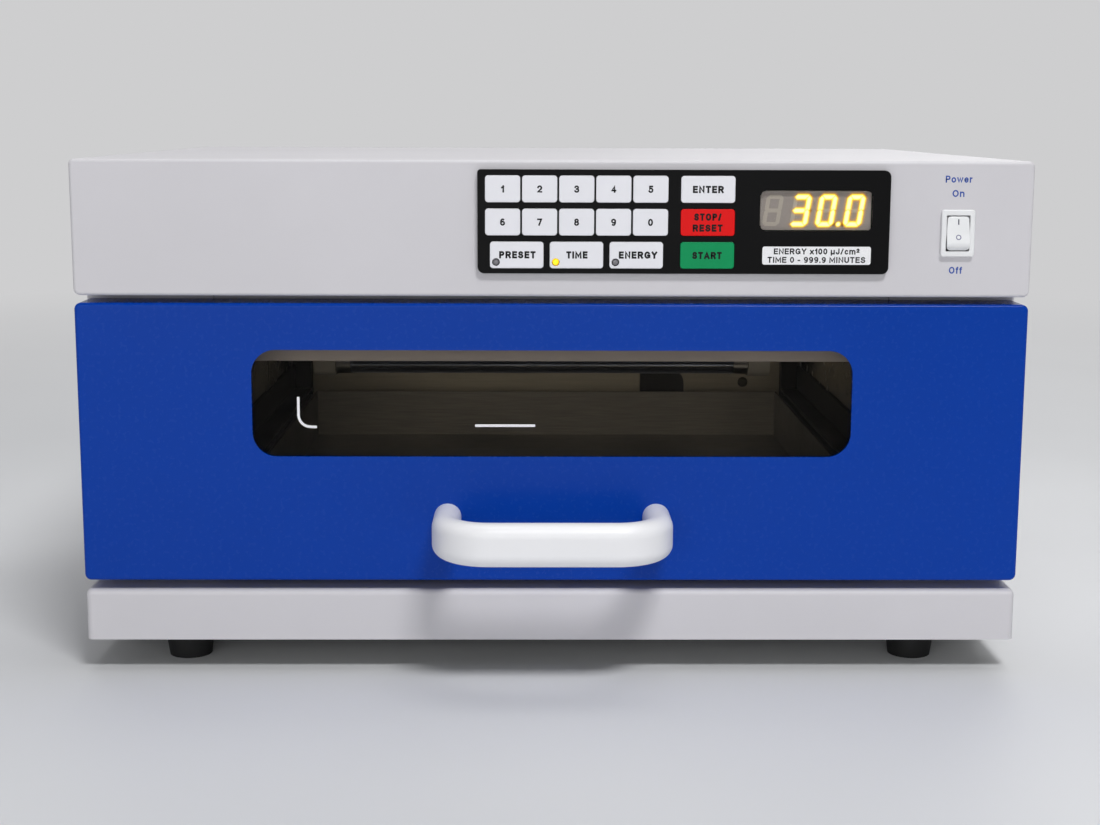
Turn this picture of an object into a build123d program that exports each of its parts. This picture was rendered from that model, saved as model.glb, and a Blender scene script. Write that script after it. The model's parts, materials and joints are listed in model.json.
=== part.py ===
"""Bench cabinet with a pull-out exposure drawer under a row of short lamps.

The origin is on the table under the middle of the whole object. +X is to the right, +Y goes from the front
to the rear, +Z is up. The cabinet is three stacked boxes seen from the front: a control housing, the drawer
front and a base. All sizes are in millimetres.
"""

import os
from math import cos, radians, sin

from build123d import *

os.makedirs("parts", exist_ok=True)

# Overall sizes
width = 432
depth = 330
foot_height = 15
base_height = 23.8
lower_gap = 4.5
drawer_height = 128.8
upper_gap = 3.4
upper_height = 61
drawer_depth = 22
body_setback = 24
handle_reach = 46
fuse_cap_reach = 8

# Sheet metal
sheet = 1.5
thin_sheet = 1.2
corner_radius = 3
bend_radius = 2.5
edge_radius = 1.5
fit_gap = 0.2
flange_width = 12
cut_over = 1

# Chamber and lamps
back_wall_gap = 7.8
rail_setback = 26
rail_drop = 31.7
lamp_count = 5
lamp_length = 212
lamp_radius = 7.9
lamp_glass_radius = 7.75
lamp_glass_wall = 0.8
lamp_cap_length = 7.3
lamp_pitch = 22
lamp_centre_x = -4
lamp_drop = 41.7
first_lamp_setback = 112
pin_radius = 1.1
pin_length = 7
pin_half_pitch = 2.4
socket_width = 18
socket_thickness = 11
socket_gap = 0.3
reflector_gap = 7.1
reflector_thickness = 1
reflector_margin = 20

# Window and drawer
window_width = 273.8
window_inset = 21.2
window_sill = 58.4
window_radius = 11
pane_thickness = 3
pane_margin = 10
inner_opening_margin = 12
inner_opening_rise = 9.6
tray_half = 142
tray_lift = 21.4
tray_wall_height = 27
tray_rear_space = 40
tray_fold_share = 0.9

# Handle
handle_pitch = 96
handle_leg = 12.5
handle_section_height = 19.6
handle_section_radius = 6
handle_bend = 20
handle_lift = 26.7
handle_screw_radius = 2.5
handle_screw_head_radius = 4.6
handle_screw_head_height = 3.2
handle_screw_grip = 12

# Telescopic slides: total thickness and height of one slide, and its nested members
slide_lift = 12
slide_front_setback = 28
slide_rear_gap = 2
travel_reserve = 10
slide_web = 1.2
slide_thickness = 12.7
slide_half_height = 17.5
slide_ball_gap = 3
slide_ball_radius = 1.35
slide_lip = 1
slide_mid_clearance = 0.8
slide_end_clearance = 1
slide_lip_offset = 2.4
cage_margin = 9.5
cage_width = 4.4
cage_thickness = 0.8
cage_ball_count = 6
cage_ball_clearance = 0.1
bracket_plate = 1.5
bracket_height = 65
post_width = 11.4
post_gap = 2.5

# Control overlay and keys, measured from the overlay's left and top edges
overlay_inset = 65.1
overlay_width = 184.7
overlay_lift = 10.6
overlay_height = 46.3
overlay_thickness = 2.5
overlay_radius = 3
overlay_small_radius = 1.4
key_pitch = 16.53
key_row_pitch = 14.7
first_key_x = 11.25
first_key_row = 8.6
key_width = 15.7
key_height = 11.9
key_radius = 1.4
key_gap = 0.15
key_proud = 0.5
key_thickness = 2.1
key_edge = 0.3
key_travel = 0.5
key_stem_radius = 2
key_stem_gap = 0.1
mode_key_width = 24
mode_key_x = 17.55
mode_key_pitch = 26.8
side_key_width = 24.2
side_key_x = 103
led_offset_x = -9.3
led_offset_z = -3.2
led_radius = 1.4
led_hole_radius = 1.75
led_proud = 0.1
keypad_cut_left = 6
keypad_cut_right = 10
keypad_cut_bottom = 2.9
keypad_cut_top = 3.9
display_left = 126.2
display_width = 50.8
display_top = 8.7
display_height = 18.45
display_cut_margin = 0.5
lens_gap = 0.1
lens_thickness = 1.4
lens_recess = 0.3
module_front = 0.3
module_gap = 0.5
board_setback = 10
board_thickness = 1.6
board_margin = 6.9
board_top_margin = 1.5
standoff_inset = 4.5
tact_size = 6
tact_height = 3.5
tact_button_radius = 1.7
tact_button_height = 1.5
standoff_radius = 3

# Blade terminals
terminal_thickness = 0.8
terminal_width = 5
terminal_length = 7

# Power switch
switch_inset = 34.1
switch_lift = 29
switch_bezel_width = 15
switch_bezel_height = 21
switch_bezel_thickness = 2
switch_bezel_radius = 1.2
switch_bezel_edge = 0.5
switch_body_width = 12.8
switch_body_height = 18.8
switch_body_depth = 16
switch_well_width = 10.6
switch_well_height = 16.1
switch_well_depth = 12
switch_cut_gap = 0.2
switch_terminal_pitch = 9
rocker_width = 10.2
rocker_radius = 7.75
rocker_tilt = 11
rocker_spread = 22
rocker_valley = 2.2
rocker_heel = 5
rocker_pivot_setback = -0.3
rocker_pin_radius = 0.9
rocker_pin_clearance = 0.05
rocker_pin_reach = 0.9

# Rear fittings
inlet_inset = 86
inlet_lift = 30
inlet_flange_width = 50
inlet_flange_height = 24
inlet_flange_thickness = 3
inlet_body_width = 27
inlet_body_height = 20
inlet_body_depth = 22
inlet_socket_width = 24.4
inlet_socket_height = 16.8
inlet_socket_depth = 17
inlet_socket_chamfer = 4
inlet_screw_pitch = 40
inlet_pin_width = 2
inlet_pin_height = 4
inlet_pin_recess = 3
fuse_offset = 42
fuse_cap_radius = 7
fuse_body_radius = 6
fuse_body_depth = 30
fuse_nut_radius = 9
fuse_nut_height = 3
fuse_slot_length = 9
fuse_slot_width = 1.6
fuse_slot_depth = 1.5
vent_width = 3
vent_length = 34
vent_pitch = 8
vent_count = 12
vent_offset = 100
vent_lift = 51

# Screws: shank radius, head radius and head height
screw_radius = 2
screw_clearance = 0.05
screw_head_radius = 3.75
screw_head_height = 2.4
small_screw_radius = 1.5
small_head_radius = 2.75
small_head_height = 2
sink_depth = 1.3
cross_length = 3
cross_width = 0.7
cross_depth = 0.6
cross_length_share = 1.1
cross_width_share = 0.26

# Feet
foot_top_radius = 12.25
foot_bottom_radius = 10
foot_recess_radius = 4.5
foot_recess = 6
foot_side_inset = 42.5
foot_end_inset = 29
boss_radius = 5

# Levels and planes that follow from the sizes above. Front pieces are placed from the right edge and from
# the box that carries them, chamber pieces from the tray, the base and the deck.
half = width / 2
base_bottom = foot_height
base_top = base_bottom + base_height
drawer_bottom = base_top + lower_gap
drawer_top = drawer_bottom + drawer_height
upper_bottom = drawer_top + upper_gap
top = upper_bottom + upper_height
front_y = (handle_reach - depth - fuse_cap_reach) / 2
rear_y = front_y + depth
middle_y = (front_y + rear_y) / 2
inner_half = half - sheet
deck_bottom = upper_bottom - sheet
tray_outer = tray_half + thin_sheet
tray_floor = base_top + tray_lift
tray_top = tray_floor + tray_wall_height
tray_rear_setback = depth - tray_rear_space
back_wall_setback = tray_rear_setback + thin_sheet + back_wall_gap
slide_outer = tray_outer + slide_thickness
slide_centre = tray_floor + slide_lift
slide_length = tray_rear_setback - slide_rear_gap - slide_front_setback
drawer_travel = slide_length - travel_reserve
chamber_half = slide_outer + bracket_plate
bracket_top = base_top + bracket_height
post_inner = chamber_half - post_width
post_setback = slide_front_setback + slide_length + post_gap
rail_bottom = deck_bottom - rail_drop
lamp_centre_z = deck_bottom - lamp_drop
lamp_end = lamp_length / 2
window_top = drawer_top - window_inset
window_bottom = drawer_bottom + window_sill
window_height = window_top - window_bottom
handle_centre = drawer_bottom + handle_lift
overlay_left = half - overlay_inset - overlay_width
overlay_bottom = upper_bottom + overlay_lift
overlay_top = overlay_bottom + overlay_height
switch_x = half - switch_inset
switch_z = upper_bottom + switch_lift
inlet_x = half - inlet_inset
inlet_z = upper_bottom + inlet_lift
fuse_x = inlet_x - fuse_offset
vent_z = base_top + vent_lift
sides = (-1, 1)


def at(setback):
    """Y of a plane this far behind the front plane."""
    return front_y + setback


def span(centre, size):
    """Low and high end of a stretch about its centre."""
    return (centre - size / 2, centre + size / 2)


def wall_plane(y):
    """Upright sketch plane at this Y, X to the right and Z up; a negative extrusion goes back."""
    return Plane.XZ.offset(-y)


def block(x, y, z, mode=Mode.ADD):
    """A box, with its two ends given along each axis."""
    with Locations((sum(x) / 2, sum(y) / 2, sum(z) / 2)):
        Box(abs(x[1] - x[0]), abs(y[1] - y[0]), abs(z[1] - z[0]), mode=mode)


def rod(axis, ends, centre, radius, mode=Mode.ADD):
    """A round rod along one axis; the centre gives the other two coordinates in X, Y, Z order."""
    turn = {"x": (0, 90, 0), "y": (-90, 0, 0), "z": (0, 0, 0)}[axis]
    middle = list(centre)
    middle.insert("xyz".index(axis), sum(ends) / 2)
    with Locations(Location(tuple(middle), turn)):
        Cylinder(radius, abs(ends[1] - ends[0]), mode=mode)


def pan_head_screw(x, z, face_y, length, radius, head_radius, head_height):
    """A pan-head screw driven forward through a rear face, with a cross recess in its head."""
    rod("y", (face_y - length, face_y), (x, z), radius)
    rod("y", (face_y, face_y + head_height), (x, z), head_radius)
    recess = (face_y + head_height / 2, face_y + head_height)
    long = head_radius * cross_length_share
    narrow = head_radius * cross_width_share
    block(span(x, long), recess, span(z, narrow), Mode.SUBTRACT)
    block(span(x, narrow), recess, span(z, long), Mode.SUBTRACT)


def save(piece, name):
    """Label a finished piece and write it under its own name."""
    piece.part.label = name
    export_step(piece.part, f"parts/{name}.step")


def save_together(pieces, name):
    """Write pieces that meet face to face under one name, each still a solid of its own."""
    together = Compound([solid for piece in pieces for solid in piece.part.solids()])
    together.label = name
    export_step(together, f"parts/{name}.step")


foot_places = [
    (side * (half - foot_side_inset), y)
    for side in sides
    for y in (front_y + foot_end_inset, rear_y - foot_end_inset)
]

# ---------------------------------------------------------------- base and feet
with BuildPart() as base_pan:
    with BuildSketch(Plane.XY.offset(base_bottom)):
        with Locations((0, middle_y)):
            RectangleRounded(width, depth, corner_radius)
    extrude(amount=base_height)
    fillet(base_pan.faces().sort_by(Axis.Z)[-1].edges(), bend_radius)
    offset(amount=-sheet, openings=base_pan.faces().sort_by(Axis.Z)[0])
    boss_z = (base_bottom + sheet, base_top - sheet)
    for place in foot_places:
        rod("z", boss_z, place, boss_radius)
        rod("z", boss_z, place, screw_radius + screw_clearance, Mode.SUBTRACT)
save(base_pan, "base_pan")

plate_slot_length = 60
plate_slot_rows = 3
with BuildPart() as bottom_plate:
    trim = 2 * (sheet + fit_gap)
    with BuildSketch(Plane.XY.offset(base_bottom)):
        with Locations((0, middle_y)):
            RectangleRounded(width - trim, depth - trim, corner_radius - sheet)
        with Locations((0, middle_y)):
            with GridLocations(plate_slot_length * 1.5, vent_pitch, 3, plate_slot_rows):
                SlotOverall(plate_slot_length, vent_width, mode=Mode.SUBTRACT)
        with Locations(*foot_places):
            Circle(screw_radius + screw_clearance, mode=Mode.SUBTRACT)
    extrude(amount=sheet)
save(bottom_plate, "bottom_plate")

with BuildPart() as feet:
    with Locations(*[(x, y, foot_height / 2) for x, y in foot_places]):
        Cone(foot_bottom_radius, foot_top_radius, foot_height)
    for place in foot_places:
        rod("z", (0, foot_recess), place, foot_recess_radius, Mode.SUBTRACT)
        rod("z", (foot_recess, foot_height), place, screw_radius + screw_clearance, Mode.SUBTRACT)
save(feet, "feet")

with BuildPart() as foot_screws:
    for place in foot_places:
        rod("z", (foot_recess, base_top - 2 * sheet), place, screw_radius)
        rod("z", (foot_recess - screw_head_height, foot_recess), place, screw_head_radius)
save(foot_screws, "foot_screws")

# ---------------------------------------------------------------- cabinet body
catch_width = 12
catch_height = 24
catch_x = (chamber_half + thin_sheet + inner_half) / 2
catch_z = deck_bottom - 29.5
interlock_z = base_top + 43
catch_gap = 0.3
catch_depth = 18
rear_screw_heights = (base_top + 21, upper_bottom - 25)
rear_flange_front = rear_y - 2 * sheet
rear_flange_x = inner_half - flange_width / 2


def side_panel_shape(side):
    """Outer wall with a wide front flange, up to the chamber wall, and a narrow rear flange."""
    block((side * inner_half, side * half), (at(body_setback), rear_y), (base_top, upper_bottom))
    flange_y = (at(body_setback), at(body_setback + sheet))
    block((side * chamber_half, side * half), flange_y, (base_top, upper_bottom))
    rear_flange_y = (rear_flange_front, rear_y - sheet)
    block((side * (inner_half - flange_width), side * half), rear_flange_y, (base_top, upper_bottom))
    cut_y = (at(body_setback - sheet), at(body_setback + 2 * sheet))
    catch_centres = (catch_z,) if side > 0 else (catch_z, interlock_z)
    for z in catch_centres:
        cut_x = span(side * catch_x, catch_width + 2 * fit_gap)
        block(cut_x, cut_y, span(z, catch_height + 2 * fit_gap), Mode.SUBTRACT)
    for z in rear_screw_heights:
        ends = (rear_flange_front - sheet, rear_y)
        rod("y", ends, (side * rear_flange_x, z), screw_radius + screw_clearance, Mode.SUBTRACT)


with BuildPart() as side_panel_left:
    side_panel_shape(-1)
    fillet(side_panel_left.edges().filter_by(Axis.Z).sort_by(Axis.X)[:2].sort_by(Axis.Y)[0], edge_radius)
save(side_panel_left, "side_panel_left")

with BuildPart() as side_panel_right:
    side_panel_shape(1)
    fillet(side_panel_right.edges().filter_by(Axis.Z).sort_by(Axis.X)[-2:].sort_by(Axis.Y)[0], edge_radius)
save(side_panel_right, "side_panel_right")

with BuildPart() as magnet_catches:
    for side in sides:
        catch_y = (at(drawer_depth + catch_gap), at(drawer_depth + catch_depth))
        block(span(side * catch_x, catch_width), catch_y, span(catch_z, catch_height))
    fillet(magnet_catches.edges().filter_by(Axis.Y), 1)
save(magnet_catches, "magnet_catches")

with BuildPart() as interlock_switch:
    block(span(-catch_x, catch_width), catch_y, span(interlock_z, catch_height))
    fillet(interlock_switch.edges().filter_by(Axis.Y), 1)
    for z in span(interlock_z, catch_height / 2):
        terminal_y = (catch_y[1], catch_y[1] + terminal_length)
        block(span(-catch_x, terminal_width), terminal_y, span(z, terminal_thickness))
save(interlock_switch, "interlock_switch")

# Control housing: a folded cover whose front is the fascia
flange_reach = 40
deck_flange_height = 12
deck_half = inner_half - fit_gap
side_screw_z = upper_bottom + deck_flange_height / 2
side_screw_places = (at(60), rear_y - 60)
top_screw_places = (-100, 0, 100)
cover_flange = 10
top_flange_z = top - sheet - cover_flange / 2
cover_side_screw_z = top - 19
cover_flange_x = inner_half - cover_flange / 2
key_area_left = overlay_left + first_key_x - keypad_cut_left
key_area_right = overlay_left + side_key_x + keypad_cut_right
key_area_bottom = overlay_bottom + keypad_cut_bottom
key_area_top = overlay_top - keypad_cut_top
display_x = (overlay_left + display_left, overlay_left + display_left + display_width)
display_z = (overlay_top - display_top - display_height, overlay_top - display_top)


def widened(ends, margin):
    """A stretch made longer by a margin at both ends."""
    return (ends[0] - margin, ends[1] + margin)


with BuildPart() as upper_cover:
    with BuildSketch(wall_plane(front_y)) as fascia_outline:
        with Locations((0, upper_bottom + upper_height / 2)):
            Rectangle(width, upper_height)
        fillet(fascia_outline.vertices().group_by(Axis.Y)[-1], bend_radius)
        fillet(fascia_outline.vertices().group_by(Axis.Y)[0], corner_radius)
    extrude(amount=-body_setback)
    fillet(upper_cover.faces().sort_by(Axis.Y)[0].edges(), edge_radius)
    with BuildSketch(wall_plane(at(body_setback))) as body_outline:
        with Locations((0, upper_bottom + upper_height / 2)):
            Rectangle(width, upper_height)
        fillet(body_outline.vertices().group_by(Axis.Y)[-1], bend_radius)
    extrude(amount=-(depth - body_setback))
    inside_x = (-inner_half, inner_half)
    inside_z = (upper_bottom + sheet, top - sheet)
    block(inside_x, (at(sheet), rear_y + cut_over), inside_z, Mode.SUBTRACT)
    floor_z = (upper_bottom - cut_over, upper_bottom + sheet)
    block(inside_x, (at(flange_reach), rear_y + cut_over), floor_z, Mode.SUBTRACT)
    for side in sides:
        flange_end_x = (side * (deck_half - sheet - fit_gap), side * inner_half)
        block(flange_end_x, (at(body_setback), at(flange_reach)), floor_z, Mode.SUBTRACT)
        rear_flange_z = (upper_bottom + deck_flange_height + fit_gap, top - sheet)
        rear_flange_span = (side * (inner_half - cover_flange), side * inner_half)
        block(rear_flange_span, (rear_flange_front, rear_y - sheet), rear_flange_z)
    block(inside_x, (rear_flange_front, rear_y - sheet), (top - sheet - cover_flange, top - sheet))
    fascia_y = (at(-cut_over), at(2 * sheet))
    block((key_area_left, key_area_right), fascia_y, (key_area_bottom, key_area_top), Mode.SUBTRACT)
    display_cut_x = widened(display_x, display_cut_margin)
    display_cut_z = widened(display_z, display_cut_margin)
    block(display_cut_x, fascia_y, display_cut_z, Mode.SUBTRACT)
    switch_cut_x = span(switch_x, switch_body_width + 2 * switch_cut_gap)
    switch_cut_z = span(switch_z, switch_body_height + 2 * switch_cut_gap)
    block(switch_cut_x, fascia_y, switch_cut_z, Mode.SUBTRACT)
    for side in sides:
        for y in side_screw_places:
            wall_x = side * half
            with Locations(Location((wall_x, y, side_screw_z), (0, side * 90, 0))):
                CounterSinkHole(
                    small_screw_radius + screw_clearance,
                    small_head_radius + screw_clearance,
                    depth=2 * sheet,
                )
        screw_ends = (rear_flange_front - sheet, rear_y)
        hole_radius = screw_radius + screw_clearance
        rod("y", screw_ends, (side * cover_flange_x, cover_side_screw_z), hole_radius, Mode.SUBTRACT)
    for x in top_screw_places:
        rod("y", screw_ends, (x, top_flange_z), hole_radius, Mode.SUBTRACT)
save(upper_cover, "upper_cover")

grommet_radius = 6
grommet_offset = 30
with BuildPart() as electronics_deck:
    deck_y = (at(body_setback + sheet), rear_flange_front - fit_gap)
    block((-deck_half, deck_half), deck_y, (deck_bottom, upper_bottom))
    for side in sides:
        flange_x = (side * (deck_half - sheet), side * deck_half)
        block(flange_x, deck_y, (upper_bottom, upper_bottom + deck_flange_height))
        for y in side_screw_places:
            ends = (side * (deck_half - 2 * sheet), side * half)
            rod("x", ends, (y, side_screw_z), small_screw_radius + screw_clearance, Mode.SUBTRACT)
        grommet_place = (side * (lamp_end + grommet_offset), middle_y)
        rod("z", (deck_bottom, upper_bottom), grommet_place, grommet_radius, Mode.SUBTRACT)
save(electronics_deck, "electronics_deck")

inlet_cut_gap = 0.2
with BuildPart() as rear_panel:
    panel_x = inner_half - fit_gap
    with BuildSketch(wall_plane(rear_y - sheet)):
        with Locations((0, (base_top + top - sheet) / 2)):
            Rectangle(2 * panel_x, top - sheet - base_top - fit_gap)
        with Locations((inlet_x, inlet_z)):
            cut_width = inlet_body_width + 2 * inlet_cut_gap
            Rectangle(cut_width, inlet_body_height + 2 * inlet_cut_gap, mode=Mode.SUBTRACT)
            with GridLocations(inlet_screw_pitch, 0, 2, 1):
                Circle(small_screw_radius + screw_clearance, mode=Mode.SUBTRACT)
        with Locations((fuse_x, inlet_z)):
            Circle(fuse_body_radius + inlet_cut_gap, mode=Mode.SUBTRACT)
        with Locations((-vent_offset, inlet_z), (-vent_offset, vent_z), (vent_offset, vent_z)):
            with GridLocations(vent_pitch, 0, vent_count, 1):
                SlotOverall(vent_length, vent_width, rotation=90, mode=Mode.SUBTRACT)
        for side in sides:
            with Locations(*[(side * rear_flange_x, z) for z in rear_screw_heights]):
                Circle(screw_radius + screw_clearance, mode=Mode.SUBTRACT)
            with Locations((side * cover_flange_x, cover_side_screw_z)):
                Circle(screw_radius + screw_clearance, mode=Mode.SUBTRACT)
        with Locations(*[(x, top_flange_z) for x in top_screw_places]):
            Circle(screw_radius + screw_clearance, mode=Mode.SUBTRACT)
    extrude(amount=-sheet)
save(rear_panel, "rear_panel")

rear_screw_length = 8
side_screw_length = 6
with BuildPart() as cabinet_screws:
    rear_screw_points = [(side * rear_flange_x, z) for side in sides for z in rear_screw_heights]
    rear_screw_points += [(side * cover_flange_x, cover_side_screw_z) for side in sides]
    rear_screw_points += [(x, top_flange_z) for x in top_screw_places]
    for x, z in rear_screw_points:
        pan_head_screw(x, z, rear_y, rear_screw_length, screw_radius, screw_head_radius, screw_head_height)
    for x in span(inlet_x, inlet_screw_pitch):
        flange_face = rear_y + inlet_flange_thickness
        screw_length = rear_screw_length + inlet_flange_thickness
        pan_head_screw(
            x, inlet_z, flange_face, screw_length, small_screw_radius, small_head_radius, small_head_height
        )
    for side in sides:
        for y in side_screw_places:
            ends = (side * (half - side_screw_length), side * half)
            rod("x", ends, (y, side_screw_z), small_screw_radius)
            with Locations(Location((side * (half - sink_depth / 2), y, side_screw_z), (0, side * 90, 0))):
                Cone(small_screw_radius, small_head_radius, sink_depth)
            slot_x = (side * (half - cross_depth), side * (half + cut_over))
            block(slot_x, span(y, cross_length), span(side_screw_z, cross_width), Mode.SUBTRACT)
            block(slot_x, span(y, cross_width), span(side_screw_z, cross_length), Mode.SUBTRACT)
save(cabinet_screws, "cabinet_screws")

# ---------------------------------------------------------------- chamber
with BuildPart() as side_reflectors:
    for side in sides:
        wall_x = (side * chamber_half, side * (chamber_half + thin_sheet))
        block(wall_x, (at(body_setback + sheet), at(back_wall_setback)), (base_top, deck_bottom))
save(side_reflectors, "side_reflectors")

sensor_left = 58.5
sensor_width = 27
sensor_bottom = tray_top - 1
sensor_height = 15
sensor_depth = 6
sensor_small_radius = 3
sensor_large_radius = 9
sensor_stem_radius = 4
sensor_stem_length = 16
with BuildPart() as chamber_back_wall:
    wall_half = chamber_half + thin_sheet
    wall_y = (at(back_wall_setback), at(back_wall_setback + thin_sheet))
    block((-wall_half, wall_half), wall_y, (base_top, deck_bottom))
    sensor_centre = (sensor_left + sensor_width / 2, sensor_bottom + sensor_height / 2)
    rod("y", wall_y, sensor_centre, sensor_stem_radius + fit_gap, Mode.SUBTRACT)
save(chamber_back_wall, "chamber_back_wall")

with BuildPart() as uv_sensor:
    with BuildSketch(wall_plane(at(back_wall_setback - sensor_depth))) as sensor_outline:
        with Locations(sensor_centre):
            Rectangle(sensor_width, sensor_height)
        upper_corners = sensor_outline.vertices().group_by(Axis.Y)[-1].sort_by(Axis.X)
        fillet(upper_corners[0], sensor_small_radius)
        right_corner = sensor_outline.vertices().group_by(Axis.Y)[-1].sort_by(Axis.X)[-1]
        fillet(right_corner, sensor_large_radius)
    extrude(amount=-sensor_depth)
    stem_y = (at(back_wall_setback), at(back_wall_setback + sensor_stem_length))
    rod("y", stem_y, sensor_centre, sensor_stem_radius)
save(uv_sensor, "uv_sensor")

rail_lip = 12
with BuildPart() as front_rail:
    rail_half = chamber_half - screw_clearance * 2
    rail_y = (at(rail_setback), at(rail_setback + sheet))
    lip_y = (at(rail_setback), at(rail_setback + rail_lip))
    block((-rail_half, rail_half), rail_y, (rail_bottom, deck_bottom))
    block((-rail_half, rail_half), lip_y, (rail_bottom, rail_bottom + sheet))
    fillet(front_rail.edges().filter_by(Axis.X).group_by(Axis.Z)[0].sort_by(Axis.Y)[0], edge_radius / 2)
save(front_rail, "front_rail")

lamp_places = [at(first_lamp_setback + index * lamp_pitch) for index in range(lamp_count)]
reflector_bottom = lamp_centre_z + lamp_radius + reflector_gap
with BuildPart() as lamp_reflector:
    reflector_x = span(lamp_centre_x, lamp_length + 2 * reflector_margin)
    reflector_y = (lamp_places[0] - reflector_margin, lamp_places[-1] + reflector_margin)
    block(reflector_x, reflector_y, (reflector_bottom, reflector_bottom + reflector_thickness))
    for edge, inward in ((reflector_y[0], 1), (reflector_y[1], -1)):
        flange_y = (edge, edge + inward * reflector_thickness)
        block(reflector_x, flange_y, (reflector_bottom, deck_bottom))
save(lamp_reflector, "lamp_reflector")

socket_slot_margin = 3.2
with BuildPart() as lamp_sockets:
    for side in sides:
        face_x = lamp_centre_x + side * (lamp_end + socket_gap)
        with BuildSketch(Plane.YZ.offset(face_x)):
            for y in lamp_places:
                with Locations((y, lamp_centre_z)):
                    Circle(socket_width / 2)
                with Locations((y, (lamp_centre_z + reflector_bottom) / 2)):
                    Rectangle(socket_width, reflector_bottom - lamp_centre_z)
        extrude(amount=side * socket_thickness)
        with BuildSketch(Plane.YZ.offset(face_x)):
            with Locations(*[(y, lamp_centre_z) for y in lamp_places]):
                SlotOverall(2 * pin_half_pitch + socket_slot_margin, socket_slot_margin)
        extrude(amount=side * (pin_length + cut_over), mode=Mode.SUBTRACT)
save(lamp_sockets, "lamp_sockets")

with BuildPart() as uv_lamps:
    glass_end = lamp_end - lamp_cap_length
    for y in lamp_places:
        ends = (lamp_centre_x - glass_end, lamp_centre_x + glass_end)
        rod("x", ends, (y, lamp_centre_z), lamp_glass_radius)
        rod("x", ends, (y, lamp_centre_z), lamp_glass_radius - lamp_glass_wall, Mode.SUBTRACT)
save(uv_lamps, "uv_lamps")

with BuildPart() as lamp_end_caps:
    for side in sides:
        for y in lamp_places:
            cap_x = (lamp_centre_x + side * glass_end, lamp_centre_x + side * lamp_end)
            rod("x", cap_x, (y, lamp_centre_z), lamp_radius)
            for pin_y in span(y, 2 * pin_half_pitch):
                rod("x", (cap_x[1], cap_x[1] + side * pin_length), (pin_y, lamp_centre_z), pin_radius)
save(lamp_end_caps, "lamp_end_caps")

# ---------------------------------------------------------------- electronics on the deck
ballast_pitch = 42
ballast_inset = 27
ballast_width = 36
ballast_length = 120
ballast_height = 28
ballast_tab = 12
ballast_front = 120
with BuildPart() as ballasts:
    ballast_places = [-half + ballast_inset + index * ballast_pitch for index in range(lamp_count)]
    ballast_y = (at(ballast_front), at(ballast_front + ballast_length))
    for x in ballast_places:
        block(span(x, ballast_width), ballast_y, (upper_bottom, upper_bottom + ballast_height))
    fillet(ballasts.faces().group_by(Axis.Z)[-1].edges(), edge_radius)
    for x in ballast_places:
        block(span(x, ballast_width), widened(ballast_y, ballast_tab), (upper_bottom, upper_bottom + sheet))
        for y in widened(ballast_y, ballast_tab / 2):
            rod("z", (upper_bottom, upper_bottom + sheet), (x, y), screw_radius, Mode.SUBTRACT)
save(ballasts, "ballasts")

power_board_x = (half - 140, half - 25)
power_board_y = (rear_y - 160, rear_y - 80)
power_board_z = upper_bottom + 8
power_standoff_inset = 5
# Transformer, relay and heat sink: left, right, front, rear from the near left corner, and height
power_blocks = ((10, 50, 10, 45, 30), (60, 85, 8, 26, 16), (5, 110, 66, 76, 12))
capacitor_places = ((63, 48), (80, 48), (97, 48))
capacitor_radius = 6
capacitor_height = 22
with BuildPart() as power_board:
    board_top = power_board_z + board_thickness
    block(power_board_x, power_board_y, (power_board_z, board_top))
    for x in widened(power_board_x, -power_standoff_inset):
        for y in widened(power_board_y, -power_standoff_inset):
            rod("z", (upper_bottom, power_board_z), (x, y), standoff_radius)
    board_left = power_board_x[0]
    board_front = power_board_y[0]
    for left, right, front, rear, height in power_blocks:
        block_x = (board_left + left, board_left + right)
        block(block_x, (board_front + front, board_front + rear), (board_top, board_top + height))
    for dx, dy in capacitor_places:
        place = (board_left + dx, board_front + dy)
        rod("z", (board_top, board_top + capacitor_height), place, capacitor_radius)
save(power_board, "power_board")

# ---------------------------------------------------------------- controls
row_z = [overlay_top - first_key_row - row * key_row_pitch for row in range(3)]
key_places = {}
for column, (upper_digit, lower_digit) in enumerate(zip("12345", "67890")):
    key_x = overlay_left + first_key_x + column * key_pitch
    key_places[f"key_{upper_digit}"] = (key_x, row_z[0], key_width)
    key_places[f"key_{lower_digit}"] = (key_x, row_z[1], key_width)
led_places = []
for column, word in enumerate(("preset", "time", "energy")):
    key_x = overlay_left + mode_key_x + column * mode_key_pitch
    key_places[f"key_{word}"] = (key_x, row_z[2], mode_key_width)
    led_places.append((key_x + led_offset_x, row_z[2] + led_offset_z))
for row, word in enumerate(("enter", "stop", "start")):
    key_places[f"key_{word}"] = (overlay_left + side_key_x, row_z[row], side_key_width)

with BuildPart() as overlay_panel:
    with BuildSketch(wall_plane(at(-overlay_thickness))) as overlay_outline:
        with Locations((overlay_left + overlay_width / 2, overlay_bottom + overlay_height / 2)):
            Rectangle(overlay_width, overlay_height)
        corners = overlay_outline.vertices().sort_by(Axis.X)
        top_left = corners[:2].sort_by(Axis.Y)[-1]
        fillet([corner for corner in corners if corner != top_left], overlay_radius)
        top_left = overlay_outline.vertices().group_by(Axis.X)[0].sort_by(Axis.Y)[-1]
        fillet(top_left, overlay_small_radius)
        for key_x, key_z, wide in key_places.values():
            with Locations((key_x, key_z)):
                RectangleRounded(
                    wide + 2 * key_gap, key_height + 2 * key_gap, key_radius + key_gap, mode=Mode.SUBTRACT
                )
        with Locations((sum(display_x) / 2, sum(display_z) / 2)):
            RectangleRounded(display_width, display_height, edge_radius, mode=Mode.SUBTRACT)
    extrude(amount=-overlay_thickness)
save(overlay_panel, "overlay_panel")

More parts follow.
